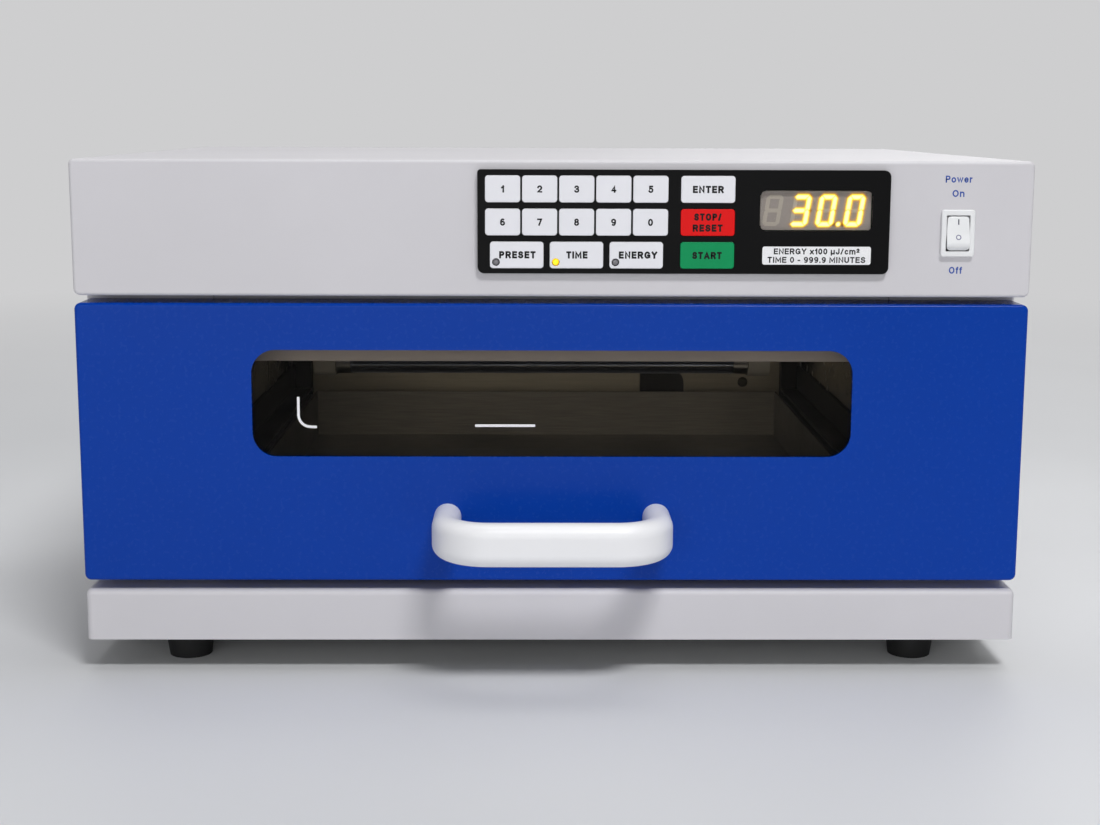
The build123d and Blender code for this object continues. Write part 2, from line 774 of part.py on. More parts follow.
lens_front = at(-overlay_thickness + lens_recess)
lens_width = display_width - 2 * lens_gap
lens_height = display_height - 2 * lens_gap
with BuildPart() as display_lens:
    with BuildSketch(wall_plane(lens_front)):
        with Locations((sum(display_x) / 2, sum(display_z) / 2)):
            RectangleRounded(lens_width, lens_height, edge_radius - lens_gap)
    extrude(amount=-lens_thickness)
save(display_lens, "display_lens")

with BuildPart() as display_module:
    module_y = (at(-module_front), at(board_setback))
    block(widened(display_x, -module_gap), module_y, widened(display_z, -module_gap))
save(display_module, "display_module")

stem_end = at(board_setback - tact_height - tact_button_height) - key_travel - key_stem_gap
for name, (key_x, key_z, wide) in key_places.items():
    with BuildPart() as key:
        with BuildSketch(wall_plane(at(-overlay_thickness - key_proud))):
            with Locations((key_x, key_z)):
                RectangleRounded(wide, key_height, key_radius)
        extrude(amount=-key_thickness)
        fillet(key.faces().sort_by(Axis.Y)[0].edges(), key_edge)
        cap_rear = at(-overlay_thickness - key_proud + key_thickness)
        rod("y", (cap_rear, stem_end), (key_x, key_z), key_stem_radius)
        if wide == mode_key_width:
            led_place = (key_x + led_offset_x, key_z + led_offset_z)
            hole_y = (cap_rear - key_thickness, cap_rear)
            rod("y", hole_y, led_place, led_hole_radius, Mode.SUBTRACT)
    save(key, name)

with BuildPart() as indicator_leds:
    for place in led_places:
        rod("y", (at(-overlay_thickness - led_proud), at(board_setback)), place, led_radius)
    fillet(indicator_leds.faces().group_by(Axis.Y)[0].edges(), led_radius / 2)
save(indicator_leds, "indicator_leds")

board_x = (overlay_left - board_margin, overlay_left + overlay_width)
board_z = (overlay_bottom, overlay_top - board_top_margin)
standoff_x = (board_x[0] + standoff_inset, (key_area_right + display_x[0]) / 2, board_x[1] - standoff_radius)
with BuildPart() as control_board:
    block(board_x, (at(board_setback), at(board_setback + board_thickness)), board_z)
    for key_x, key_z, wide in key_places.values():
        tact_front = at(board_setback - tact_height)
        block(span(key_x, tact_size), (tact_front, at(board_setback)), span(key_z, tact_size))
        rod("y", (tact_front - tact_button_height, tact_front), (key_x, key_z), tact_button_radius)
    for x in standoff_x:
        for z in widened(board_z, -standoff_inset):
            rod("y", (at(sheet), at(board_setback)), (x, z), standoff_radius)
save(control_board, "control_board")

pivot_y = at(rocker_pivot_setback)
with BuildPart() as switch_frame:
    with BuildSketch(wall_plane(at(-switch_bezel_thickness))):
        with Locations((switch_x, switch_z)):
            RectangleRounded(switch_bezel_width, switch_bezel_height, switch_bezel_radius)
    extrude(amount=-switch_bezel_thickness)
    fillet(switch_frame.faces().sort_by(Axis.Y)[0].edges(), switch_bezel_edge)
    body_y = (front_y, at(switch_body_depth))
    block(span(switch_x, switch_body_width), body_y, span(switch_z, switch_body_height))
    well_y = (at(-switch_bezel_thickness - cut_over), at(switch_well_depth))
    block(span(switch_x, switch_well_width), well_y, span(switch_z, switch_well_height), Mode.SUBTRACT)
    bearing_x = span(switch_x, rocker_width + 2 * rocker_pin_reach + fit_gap)
    rod("x", bearing_x, (pivot_y, switch_z), rocker_pin_radius + rocker_pin_clearance, Mode.SUBTRACT)
    for z in span(switch_z, switch_terminal_pitch):
        terminal_y = (body_y[1], body_y[1] + terminal_length)
        block(span(switch_x, terminal_width), terminal_y, span(z, terminal_thickness))
save(switch_frame, "switch_frame")


def rocker_point(angle, end):
    """A point on the rocker's end arc, this many degrees forward of upright, at the upper or lower end."""
    lean = radians(angle)
    return (pivot_y - rocker_radius * sin(lean), switch_z + end * rocker_radius * cos(lean))


with BuildPart() as power_rocker:
    upper_front = rocker_point(rocker_spread - rocker_tilt, 1)
    upper_side = rocker_point(-rocker_tilt, 1)
    upper_rear = rocker_point(-rocker_spread - rocker_tilt, 1)
    lower_front = rocker_point(rocker_spread + rocker_tilt, -1)
    lower_side = rocker_point(rocker_tilt, -1)
    lower_rear = rocker_point(-rocker_spread + rocker_tilt, -1)
    valley = (pivot_y - rocker_valley, switch_z)
    lean = radians(rocker_tilt)
    heel = (pivot_y + rocker_heel * cos(lean), switch_z - rocker_heel * sin(lean))
    with BuildSketch(Plane.YZ.offset(switch_x)):
        with BuildLine():
            Line(valley, upper_front)
            ThreePointArc(upper_front, upper_side, upper_rear)
            Line(upper_rear, heel)
            Line(heel, lower_rear)
            ThreePointArc(lower_rear, lower_side, lower_front)
            Line(lower_front, valley)
        make_face()
    extrude(amount=rocker_width / 2, both=True)
    pin_x = span(switch_x, rocker_width + 2 * rocker_pin_reach)
    rod("x", pin_x, (pivot_y, switch_z), rocker_pin_radius)
save(power_rocker, "power_rocker")

# ---------------------------------------------------------------- rear fittings
inlet_pin_places = ((-7, -2), (7, -2), (0, 2))
with BuildPart() as mains_inlet:
    with BuildSketch(wall_plane(rear_y)):
        with Locations((inlet_x, inlet_z)):
            RectangleRounded(inlet_flange_width, inlet_flange_height, corner_radius)
            with GridLocations(inlet_screw_pitch, 0, 2, 1):
                Circle(small_screw_radius + screw_clearance, mode=Mode.SUBTRACT)
    extrude(amount=-inlet_flange_thickness)
    body_span = (rear_y - inlet_body_depth, rear_y)
    block(span(inlet_x, inlet_body_width), body_span, span(inlet_z, inlet_body_height))
    flange_rear = rear_y + inlet_flange_thickness
    with BuildSketch(wall_plane(flange_rear)) as socket_outline:
        with Locations((inlet_x, inlet_z)):
            Rectangle(inlet_socket_width, inlet_socket_height)
        chamfer(socket_outline.vertices().group_by(Axis.Y)[-1], inlet_socket_chamfer)
    extrude(amount=inlet_socket_depth, mode=Mode.SUBTRACT)
    pin_y = (flange_rear - inlet_socket_depth, flange_rear - inlet_pin_recess)
    terminal_y = (body_span[0] - terminal_length, body_span[0])
    for dx, dz in inlet_pin_places:
        block(span(inlet_x + dx, inlet_pin_width), pin_y, span(inlet_z + dz, inlet_pin_height))
        block(span(inlet_x + dx, terminal_thickness), terminal_y, span(inlet_z + dz, terminal_width))
save(mains_inlet, "mains_inlet")

with BuildPart() as fuse_holder:
    fuse_place = (fuse_x, inlet_z)
    rod("y", (rear_y, rear_y + fuse_cap_reach), fuse_place, fuse_cap_radius)
    fillet(fuse_holder.faces().sort_by(Axis.Y)[-1].edges(), 1)
    slot_y = (rear_y + fuse_cap_reach - fuse_slot_depth, rear_y + fuse_cap_reach)
    block(span(fuse_x, fuse_slot_length), slot_y, span(inlet_z, fuse_slot_width), Mode.SUBTRACT)
    rod("y", (rear_y - fuse_body_depth, rear_y), fuse_place, fuse_body_radius)
    rod("y", (rear_y - sheet - fuse_nut_height, rear_y - sheet), fuse_place, fuse_nut_radius)
save(fuse_holder, "fuse_holder")

# ---------------------------------------------------------------- drawer
handle_places = [(x, handle_centre) for x in span(0, handle_pitch)]
window_centre = (0, window_bottom + window_height / 2)
with BuildPart() as drawer_front:
    with BuildSketch(wall_plane(front_y)):
        with Locations((0, drawer_bottom + drawer_height / 2)):
            RectangleRounded(width, drawer_height, corner_radius)
    extrude(amount=-drawer_depth)
    fillet(drawer_front.faces().sort_by(Axis.Y)[0].edges(), edge_radius)
    with BuildSketch(wall_plane(at(sheet))):
        with Locations((0, drawer_bottom + drawer_height / 2)):
            RectangleRounded(width - 2 * sheet, drawer_height - 2 * sheet, corner_radius - sheet)
    extrude(amount=-drawer_depth, mode=Mode.SUBTRACT)
    with BuildSketch(wall_plane(front_y)):
        with Locations(window_centre):
            RectangleRounded(window_width, window_height, window_radius)
        with Locations(*handle_places):
            Circle(handle_screw_radius + fit_gap)
    extrude(amount=-2 * sheet, mode=Mode.SUBTRACT)
save(drawer_front, "drawer_front")

inner_panel_front = at(drawer_depth - sheet)
with BuildPart() as drawer_inner_panel:
    with BuildSketch(wall_plane(inner_panel_front)):
        with Locations((0, drawer_bottom + drawer_height / 2)):
            RectangleRounded(width - trim, drawer_height - trim, corner_radius - sheet)
        with Locations(window_centre):
            opening_width = window_width + 2 * inner_opening_margin
            opening_height = window_height + 2 * inner_opening_rise
            RectangleRounded(opening_width, opening_height, window_radius + thin_sheet, mode=Mode.SUBTRACT)
    extrude(amount=-sheet)
save(drawer_inner_panel, "drawer_inner_panel")

stud_radius = 1.5
stud_hole_radius = 1.8
stud_length = 7.5
stud_nut_radius = 3.6
stud_nut_height = 2.5
pane_front = at(sheet)
stud_x = window_width / 2 + pane_margin / 2
stud_z = (window_bottom - pane_margin / 2, window_top + pane_margin / 2)
stud_places = [(x, z) for x in (-stud_x, 0, stud_x) for z in stud_z]
with BuildPart() as window_pane:
    with BuildSketch(wall_plane(pane_front)):
        with Locations(window_centre):
            pane_width = window_width + 2 * pane_margin
            RectangleRounded(pane_width, window_height + 2 * pane_margin, corner_radius)
        with Locations(*stud_places):
            Circle(stud_hole_radius, mode=Mode.SUBTRACT)
    extrude(amount=-pane_thickness)
save(window_pane, "window_pane")

with BuildPart() as window_clips:
    for place in stud_places:
        rod("y", (pane_front, pane_front + stud_length), place, stud_radius)
        nut_y = (pane_front + pane_thickness, pane_front + pane_thickness + stud_nut_height)
        rod("y", nut_y, place, stud_nut_radius)
save(window_clips, "window_clips")

# The tray is a bottom sheet between two side walls, with an end wall welded on at the front and rear
tray_y = (at(drawer_depth), at(tray_rear_setback + thin_sheet))
with BuildPart() as tray_bottom:
    block((-tray_half, tray_half), tray_y, (tray_floor - thin_sheet, tray_floor))

with BuildPart() as tray_sides:
    for side in sides:
        block((side * tray_half, side * tray_outer), tray_y, (tray_floor - thin_sheet, tray_top))
    lowest_faces = tray_sides.faces().sort_by(Axis.Z)[:2]
    outer_edges = lowest_faces.edges().filter_by(Axis.Y).sort_by(Axis.X)
    fillet([outer_edges[0], outer_edges[-1]], thin_sheet * tray_fold_share)

with BuildPart() as tray_ends:
    for wall_front in (tray_y[0], tray_y[1] - thin_sheet):
        block((-tray_half, tray_half), (wall_front, wall_front + thin_sheet), (tray_floor, tray_top))
save_together((tray_bottom, tray_sides, tray_ends), "drawer_tray")

with BuildPart() as handle:
    grip_y = at(-handle_reach + handle_leg / 2)
    leg_x = handle_pitch / 2
    with BuildLine(Plane.XY.offset(handle_centre)):
        handle_path = [(-leg_x, front_y), (-leg_x, grip_y), (leg_x, grip_y), (leg_x, front_y)]
        FilletPolyline(*handle_path, radius=handle_bend)
    with BuildSketch(Plane(origin=(-leg_x, front_y, handle_centre), x_dir=(1, 0, 0), z_dir=(0, -1, 0))):
        RectangleRounded(handle_leg, handle_section_height, handle_section_radius)
    sweep()
    for place in handle_places:
        bore_y = (at(-handle_screw_grip - cut_over), front_y)
        rod("y", bore_y, place, handle_screw_radius + screw_clearance, Mode.SUBTRACT)
save(handle, "handle")

with BuildPart() as handle_screws:
    for place in handle_places:
        rod("y", (at(-handle_screw_grip), at(sheet)), place, handle_screw_radius)
        rod("y", (at(sheet), at(sheet + handle_screw_head_height)), place, handle_screw_head_radius)
save(handle_screws, "handle_screws")

# ---------------------------------------------------------------- telescopic slides
# Half heights of the nested lips, from the drawer member out to the cabinet member
cabinet_lip_inner = slide_half_height - slide_web
mid_lip_outer = cabinet_lip_inner - slide_ball_gap
mid_lip_inner = mid_lip_outer - slide_lip
drawer_lip_outer = mid_lip_inner - slide_ball_gap
drawer_lip_inner = drawer_lip_outer - slide_lip
slide_y = (at(slide_front_setback), at(slide_front_setback + slide_length))
cabinet_web = (slide_outer - slide_web, slide_outer)
mid_web = (cabinet_web[0] - slide_mid_clearance - slide_lip, cabinet_web[0] - slide_mid_clearance)
drawer_web = (tray_outer, tray_outer + slide_web)
lip_start = tray_outer + slide_lip_offset
drawer_lip_end = mid_web[0] - slide_end_clearance


def channel(web, lip_x, outer, inner):
    """One slide member on both sides: an upright web and two level lips."""
    for side in sides:
        block((side * web[0], side * web[1]), slide_y, (slide_centre - outer, slide_centre + outer))
        for up in sides:
            lip_z = (slide_centre + up * inner, slide_centre + up * outer)
            block((side * lip_x[0], side * lip_x[1]), slide_y, lip_z)


with BuildPart() as slide_cabinet_members:
    channel(cabinet_web, (lip_start, cabinet_web[0]), slide_half_height, cabinet_lip_inner)
save(slide_cabinet_members, "slide_cabinet_members")

with BuildPart() as slide_mid_members:
    channel(mid_web, (lip_start, mid_web[0]), mid_lip_outer, mid_lip_inner)
save(slide_mid_members, "slide_mid_members")

with BuildPart() as slide_drawer_members:
    channel(drawer_web, (drawer_web[1], drawer_lip_end), drawer_lip_outer, drawer_lip_inner)
save(slide_drawer_members, "slide_drawer_members")

cage_x = (lip_start + drawer_lip_end) / 2
# A cage lags or leads by a quarter of the travel, and stays between both of its members at full reach
cage_start = slide_front_setback + drawer_travel / 4 + cage_margin
cage_length = slide_length - drawer_travel / 2 - 2 * cage_margin
cage_y = (at(cage_start), at(cage_start + cage_length))
ball_pitch = cage_length / cage_ball_count
ball_places = [cage_y[0] + (index + 0.5) * ball_pitch for index in range(cage_ball_count)]


def ball_cage(level):
    """Perforated strips above and below the centre of each slide, with a loose ball in every hole."""
    for side in sides:
        for up in sides:
            z = slide_centre + up * level
            block(span(side * cage_x, cage_width), cage_y, span(z, cage_thickness))
            with Locations(*[(side * cage_x, y, z) for y in ball_places]):
                Sphere(slide_ball_radius + cage_ball_clearance, mode=Mode.SUBTRACT)
    centres = [(side * cage_x, slide_centre + up * level) for side in sides for up in sides]
    with Locations(*[(x, y, z) for x, z in centres for y in ball_places]):
        Sphere(slide_ball_radius)


with BuildPart() as slide_cages_outer:
    ball_cage(mid_lip_outer + slide_ball_gap / 2)
save(slide_cages_outer, "slide_cages_outer")

with BuildPart() as slide_cages_inner:
    ball_cage(drawer_lip_outer + slide_ball_gap / 2)
save(slide_cages_inner, "slide_cages_inner")

with BuildPart() as slide_brackets:
    for side in sides:
        plate_x = (side * slide_outer, side * chamber_half)
        block(plate_x, (at(rail_setback), at(post_setback)), (base_top, bracket_top))
        post_x = (side * post_inner, side * chamber_half)
        block(post_x, (at(post_setback), at(back_wall_setback)), (base_top, deck_bottom))
save(slide_brackets, "slide_brackets")
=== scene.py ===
"""A bench exposure cabinet with a windowed pull-out drawer, dressed for its photograph.

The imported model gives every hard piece, in metres: +X to the right, +Y to the rear, +Z up. This
script gives each surface its finish. It adds the print, the lit display, the indicators, the
rocker's rounded shape, the lamps' filaments and a plug in the chamber, and it sets the floor, the
lights and the camera. Pieces are drawn in millimetres, and their places are read from the model's
own boxes where they can be.
"""

import json
import math

import bmesh
import bpy
from mathutils import Matrix, Quaternion, Vector


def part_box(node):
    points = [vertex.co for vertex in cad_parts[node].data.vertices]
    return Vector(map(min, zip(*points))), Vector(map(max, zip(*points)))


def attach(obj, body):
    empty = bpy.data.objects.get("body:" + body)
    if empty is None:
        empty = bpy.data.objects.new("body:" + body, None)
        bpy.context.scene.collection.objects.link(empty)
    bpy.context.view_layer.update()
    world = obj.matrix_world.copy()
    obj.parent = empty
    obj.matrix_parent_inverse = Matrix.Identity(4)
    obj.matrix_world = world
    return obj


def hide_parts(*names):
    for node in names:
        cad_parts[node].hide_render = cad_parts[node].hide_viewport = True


MM = 0.001
# The thickness of printed film, and how much each next stroke of ink lies above the last
FILM = 0.03
INK_STEP = 0.0006

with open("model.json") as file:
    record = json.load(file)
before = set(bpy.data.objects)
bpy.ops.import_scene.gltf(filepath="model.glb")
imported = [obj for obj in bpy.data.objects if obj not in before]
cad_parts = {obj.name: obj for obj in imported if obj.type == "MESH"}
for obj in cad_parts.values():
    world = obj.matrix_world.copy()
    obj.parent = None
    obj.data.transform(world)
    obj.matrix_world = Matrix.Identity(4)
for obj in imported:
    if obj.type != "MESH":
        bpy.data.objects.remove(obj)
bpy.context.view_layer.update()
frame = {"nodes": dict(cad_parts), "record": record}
nodes = frame["nodes"]


# ---------------------------------------------------------------- colours and shader graphs
WHITE = (1, 1, 1, 1)


def linear(red, green, blue):
    """A colour given in 0 to 255 screen values, as shaders take it."""
    shares = [value / 255 for value in (red, green, blue)]
    channels = [s / 12.92 if s <= 0.04045 else ((s + 0.055) / 1.055) ** 2.4 for s in shares]
    return (*channels, 1.0)


def shade(colour, factor):
    """The same colour, lighter or darker."""
    return tuple(min(channel * factor, 1.0) for channel in colour[:3]) + (1.0,)


class Graph:
    """One material's nodes. Its methods add nodes and return the output to use next."""

    def __init__(self, name):
        self.material = bpy.data.materials.new(name)
        self.material.use_nodes = True
        self.tree = self.material.node_tree
        self.tree.nodes.clear()
        self.place = self.add("ShaderNodeTexCoord").outputs["Object"]

    def add(self, kind, inputs=None, **settings):
        """A node with its settings, and with values or other nodes' outputs on its inputs."""
        node = self.tree.nodes.new(kind)
        for key, value in settings.items():
            setattr(node, key, value)
        for key, value in (inputs or {}).items():
            if isinstance(value, bpy.types.NodeSocket):
                self.tree.links.new(value, node.inputs[key])
            else:
                node.inputs[key].default_value = value
        return node

    def noise(self, scale, detail, stretch=None):
        """Cloudy noise, so many features per metre, drawn out along axes with a small stretch."""
        place = self.place
        if stretch:
            mapping = self.add("ShaderNodeMapping", {"Vector": place, "Scale": stretch})
            place = mapping.outputs["Vector"]
        inputs = {"Vector": place, "Scale": scale, "Detail": detail}
        return self.add("ShaderNodeTexNoise", inputs).outputs["Fac"]

    def ramp(self, factor, *stops):
        """Colours between stops, each a position and a colour."""
        node = self.add("ShaderNodeValToRGB", {"Fac": factor})
        elements = node.color_ramp.elements
        while len(elements) < len(stops):
            elements.new(0.5)
        for element, (position, colour) in zip(elements, stops):
            element.position = position
            element.color = colour
        return node.outputs["Color"]

    def between(self, factor, low, high, start=0.3, end=0.7):
        """A value that runs from low to high as the factor runs from start to end."""
        inputs = {
            "Value": factor,
            "From Min": start,
            "From Max": end,
            "To Min": low,
            "To Max": high,
        }
        return self.add("ShaderNodeMapRange", inputs).outputs["Result"]

    def bump(self, height, depth, under=None):
        """Relief of this depth in millimetres, on top of an earlier relief if there is one."""
        inputs = {"Height": height, "Distance": depth * MM, "Strength": 1.0}
        if under:
            inputs["Normal"] = under
        return self.add("ShaderNodeBump", inputs).outputs["Normal"]

    def math(self, operation, first, second):
        """The outcome of one sum of two values or outputs."""
        return self.add("ShaderNodeMath", {0: first, 1: second}, operation=operation).outputs[0]

    def mix(self, share, low, high):
        """One shader where the share is 0 and the other where it is 1."""
        return self.add("ShaderNodeMixShader", {0: share, 1: low, 2: high}).outputs[0]

    def principled(self, **inputs):
        """The usual surface shader; its inputs are named as keywords with underscores."""
        named = {}
        for key, value in inputs.items():
            named[key.replace("_", " ").title().replace("Ior", "IOR")] = value
        return self.add("ShaderNodeBsdfPrincipled", named).outputs["BSDF"]

    def mirror(self, roughness):
        """A white reflection of this roughness."""
        return self.add("ShaderNodeBsdfGlossy", {"Color": WHITE, "Roughness": roughness}).outputs[0]

    def finish(self, shader):
        """Ends the graph and returns the material."""
        self.add("ShaderNodeOutputMaterial", {"Surface": shader})
        return self.material


def powder_coat(name, colour, roughness, specular):
    """Satin powder coat on sheet metal: orange peel, a fine tooth and slow changes of tone."""
    graph = Graph(name)
    broad = graph.noise(7, 3)
    peel = graph.noise(520, 2)
    tooth = graph.noise(2600, 1)
    tone = graph.ramp(broad, (0.3, shade(colour, 0.97)), (0.7, shade(colour, 1.03)))
    relief = graph.bump(tooth, 0.001, graph.bump(peel, 0.006))
    return graph.finish(
        graph.principled(
            base_color=tone,
            roughness=graph.between(peel, roughness - 0.05, roughness + 0.06),
            specular_ior_level=specular,
            normal=relief,
        )
    )


def rolled_metal(name, colour, roughness, stretch, scale, relief=0.006, patch=0.12):
    """Bare sheet metal: rolling or brushing lines, a cloudy sheen and light handling marks."""
    graph = Graph(name)
    lines = graph.noise(scale, 3, stretch)
    cloud = graph.noise(14, 4)
    marks = graph.noise(120, 6)
    tone = graph.ramp(lines, (0.3, shade(colour, 1 - patch)), (0.7, shade(colour, 1 + patch)))
    dull = graph.between(marks, 0, 0.1, 0.5, 0.75)
    sheen = graph.between(cloud, roughness - 0.06, roughness + 0.08)
    return graph.finish(
        graph.principled(
            base_color=tone,
            metallic=1.0,
            roughness=graph.math("ADD", dull, sheen),
            normal=graph.bump(lines, relief),
        )
    )


def moulded(name, colour, roughness, grain=900, relief=0.012, gloss=0.0, spread=0.02, specular=0.5):
    """Moulded plastic or rubber: a fine spark grain, uneven gloss and a slight change of tone."""
    graph = Graph(name)
    skin = graph.noise(grain, 2)
    cloud = graph.noise(40, 3)
    tone = graph.ramp(cloud, (0.3, shade(colour, 1 - spread)), (0.7, shade(colour, 1 + spread)))
    return graph.finish(
        graph.principled(
            base_color=tone,
            roughness=graph.between(cloud, roughness - 0.05, roughness + 0.07),
            specular_ior_level=specular,
            coat_weight=gloss,
            coat_roughness=0.12,
            normal=graph.bump(skin, relief),
        )
    )


def see_through(name, tint, roughness, ior):
    """A clear wall: what is behind it, a reflection stronger at a slant, and faint wiping marks."""
    graph = Graph(name)
    wiped = graph.between(graph.noise(60, 5, (1, 1, 0.2)), roughness, roughness + 0.06)
    through = graph.add("ShaderNodeBsdfTransparent", {"Color": tint}).outputs[0]
    mirror = graph.mirror(wiped)
    facing = graph.add("ShaderNodeLayerWeight", {"Blend": 0.5}).outputs["Facing"]
    head_on = ((ior - 1) / (ior + 1)) ** 2
    slanted = graph.math("MULTIPLY", graph.math("POWER", facing, 5), 1 - head_on)
    share = graph.math("ADD", slanted, head_on)
    return graph.finish(graph.mix(share, through, mirror))


def tube_glass(name, tint, edge_highlight_colour, roughness=0.04, ior=2.0):
    """A lamp's glass tube: clear where it faces the eye, shiny, with a pale painted highlight along
    its edges.
    """
    graph = Graph(name)
    dusty = graph.between(graph.noise(90, 4, (0.3, 1, 1)), roughness, roughness + 0.05)
    through = graph.add("ShaderNodeBsdfTransparent", {"Color": tint}).outputs[0]
    mirror = graph.mirror(dusty)
    share = graph.add("ShaderNodeFresnel", {"IOR": ior}).outputs[0]
    edge = graph.add("ShaderNodeLayerWeight", {"Blend": 0.5}).outputs["Facing"]
    # Painted highlight: a pale diffuse colour, mixed in towards the tube's edges, stands in for the
    # glint along its rim
    painted_edge_highlight = graph.add("ShaderNodeBsdfDiffuse", {"Color": edge_highlight_colour}).outputs[0]
    clear = graph.mix(share, through, mirror)
    return graph.finish(graph.mix(graph.between(edge, 0.06, 0.9, 0.5, 0.95), clear, painted_edge_highlight))


def printed(name, colour):
    """Screen-printed ink, with the mesh's faint unevenness."""
    graph = Graph(name)
    weave = graph.noise(3000, 1)
    tone = graph.ramp(weave, (0.3, shade(colour, 0.94)), (0.7, shade(colour, 1.06)))
    return graph.finish(
        graph.principled(
            base_color=tone,
            roughness=0.5,
            specular_ior_level=0.25,
            normal=graph.bump(weave, 0.004),
        )
    )


def glowing(name, core, warm, rim, strength):
    """Light, hottest along a bar's middle and fading out to its rim, by the mesh's glow values."""
    graph = Graph(name)
    glow = graph.add("ShaderNodeAttribute", attribute_name="glow").outputs["Fac"]
    colour = graph.ramp(glow, (0.3, rim), (0.8, warm), (1.0, core))
    light = graph.add("ShaderNodeEmission", {"Color": colour, "Strength": strength}).outputs[0]
    clear = graph.add("ShaderNodeBsdfTransparent").outputs[0]
    return graph.finish(graph.mix(graph.math("POWER", glow, 1.7), clear, light))


def lamp_diode(name, colour, light):
    """A diffused indicator: its tinted resin, a cloudy inside, and its own light if it is on."""
    graph = Graph(name)
    cloud = graph.noise(2200, 2)
    tone = graph.ramp(cloud, (0.3, shade(colour, 0.85)), (0.7, shade(colour, 1.1)))
    return graph.finish(
        graph.principled(
            base_color=tone,
            roughness=0.3,
            emission_color=tone,
            emission_strength=light,
            normal=graph.bump(cloud, 0.01),
        )
    )


# ---------------------------------------------------------------- finishes by material slot
GREY = linear(214, 212, 216)
BLUE = linear(0, 60, 163)
INK = linear(14, 14, 17)
ALONG_X = (0.04, 1, 1)
ALONG_Y = (1, 0.04, 1)

finishes = {
    "light_paint": powder_coat("light_powder_coat", GREY, 0.4, 0.25),
    "blue_paint": powder_coat("blue_powder_coat", BLUE, 0.24, 0.15),
    "black_paint": powder_coat("black_powder_coat", linear(26, 25, 24), 0.5, 0.2),
    "zinc_steel": rolled_metal("zinc_plated_steel", linear(190, 190, 186), 0.42, (1, 0.15, 1), 300),
    "slide_steel": rolled_metal("bright_rolled_steel", linear(128, 126, 120), 0.34, ALONG_Y, 1200),
    "tray_steel": rolled_metal("brushed_tray_steel", linear(158, 157, 153), 0.38, ALONG_X, 1300),
    "bright_aluminium": rolled_metal(
        "polished_aluminium", linear(120, 117, 110), 0.24, ALONG_Y, 700, 0.003, 0.05
    ),
    "chamber_steel": rolled_metal(
        "rolled_chamber_steel", linear(184, 180, 167), 0.33, ALONG_X, 700, 0.004, 0.06
    ),
    "acrylic": see_through("clear_acrylic", linear(232, 228, 222), 0.03, 1.13),
    # The lamp glass's last colour is a painted highlight along the tubes' edges
    "lamp_glass": tube_glass("quartz_glass", linear(196, 208, 230), linear(214, 224, 246)),
    "lamp_cap": rolled_metal("spun_cap_metal", linear(190, 192, 196), 0.3, (0.1, 1, 1), 900),
    "socket_white": moulded("socket_plastic", linear(206, 206, 200), 0.42),
    "handle_white": moulded("handle_nylon", linear(246, 246, 248), 0.36, 500, 0.004, 0.05, 0.008),
    "key_white": moulded(
        "key_face_white", linear(238, 238, 243), 0.42, 1500, 0.005, 0.0, 0.012, 0.3
    ),
    "key_red": moulded("key_face_red", linear(230, 10, 12), 0.42, 1500, 0.005, 0.0, 0.03, 0.2),
    "key_green": moulded("key_face_green", linear(0, 148, 88), 0.42, 1500, 0.005, 0.0, 0.03, 0.2),
    "overlay_black": moulded("overlay_film", linear(5, 5, 6), 0.42, 1800, 0.005, 0.0, 0.08, 0.13),
    "display_dark": moulded("display_body", linear(172, 168, 166), 0.5, 1600, 0.008),
    "display_filter": see_through("display_filter", linear(246, 244, 242), 0.14, 1.2),
    "indicator": moulded("indicator_resin", linear(84, 84, 90), 0.3),
    "switch_white": moulded("switch_nylon", linear(240, 241, 242), 0.32, 900, 0.005, 0.1, 0.008),
    "inlet_black": moulded("inlet_plastic", linear(26, 26, 27), 0.4),
    "sensor_black": moulded("sensor_plastic", linear(26, 24, 23), 0.5),
    "catch_black": moulded("catch_plastic", linear(24, 24, 25), 0.5),
    "rubber": moulded("foot_rubber", linear(22, 22, 23), 0.72, 700, 0.03, 0.0, 0.15),
    "board_green": moulded("circuit_board", linear(22, 92, 52), 0.35, 400, 0.02, 0.2, 0.2),
    "ballast_grey": powder_coat("ballast_enamel", linear(150, 152, 154), 0.45, 0.3),
    "screw_steel": rolled_metal("screw_steel", linear(172, 171, 168), 0.32, (1, 0.1, 1), 1500),
}
slot_of = {piece["node"]: piece["material_slot"] for piece in frame["record"]["subparts"]}
for node_name, node in nodes.items():
    for material_slot in node.material_slots:
        material_slot.material = finishes[slot_of[node_name]]

ink_dark = printed("print_dark", INK)
ink_blue = printed("print_blue", linear(52, 84, 166))
ink_white = printed("print_white", linear(246, 246, 248))
label_white = printed("label_white", linear(244, 244, 246))
ink_mark = printed("print_mark", linear(120, 118, 150))
ink_mark_dark = printed("print_mark_dark", linear(60, 60, 84))
lit_core = linear(255, 248, 176)
lit_warm = linear(255, 226, 16)
lit_rim = linear(255, 170, 2)
lit_amber = glowing("digit_lit", lit_core, lit_warm, lit_rim, 1.8)
unlit_grey = moulded("digit_unlit", linear(198, 194, 186), 0.45, 1200, 0.008)
diode_on = lamp_diode("diode_on", linear(255, 205, 30), 0.9)
diode_off = lamp_diode("diode_off", linear(128, 126, 130), 0.0)


# ---------------------------------------------------------------- making pieces
def box_mm(node_name):
    """The lowest and highest corners of a node, in millimetres."""
    low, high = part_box(node_name)
    return Vector(low) / MM, Vector(high) / MM


def middle_of(node_name):
    """The centre of a node's box, in millimetres."""
    low, high = box_mm(node_name)
    return (low + high) / 2


def add_piece(name, mesh, finish, body, smooth=False):
    """Puts a mesh in the scene as a piece that rides on a body."""
    mesh.materials.clear()
    mesh.materials.append(finish)
    if smooth:
        mesh.shade_smooth()
    piece = bpy.data.objects.new(name, mesh)
    bpy.context.scene.collection.objects.link(piece)
    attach(piece, body)
    return piece


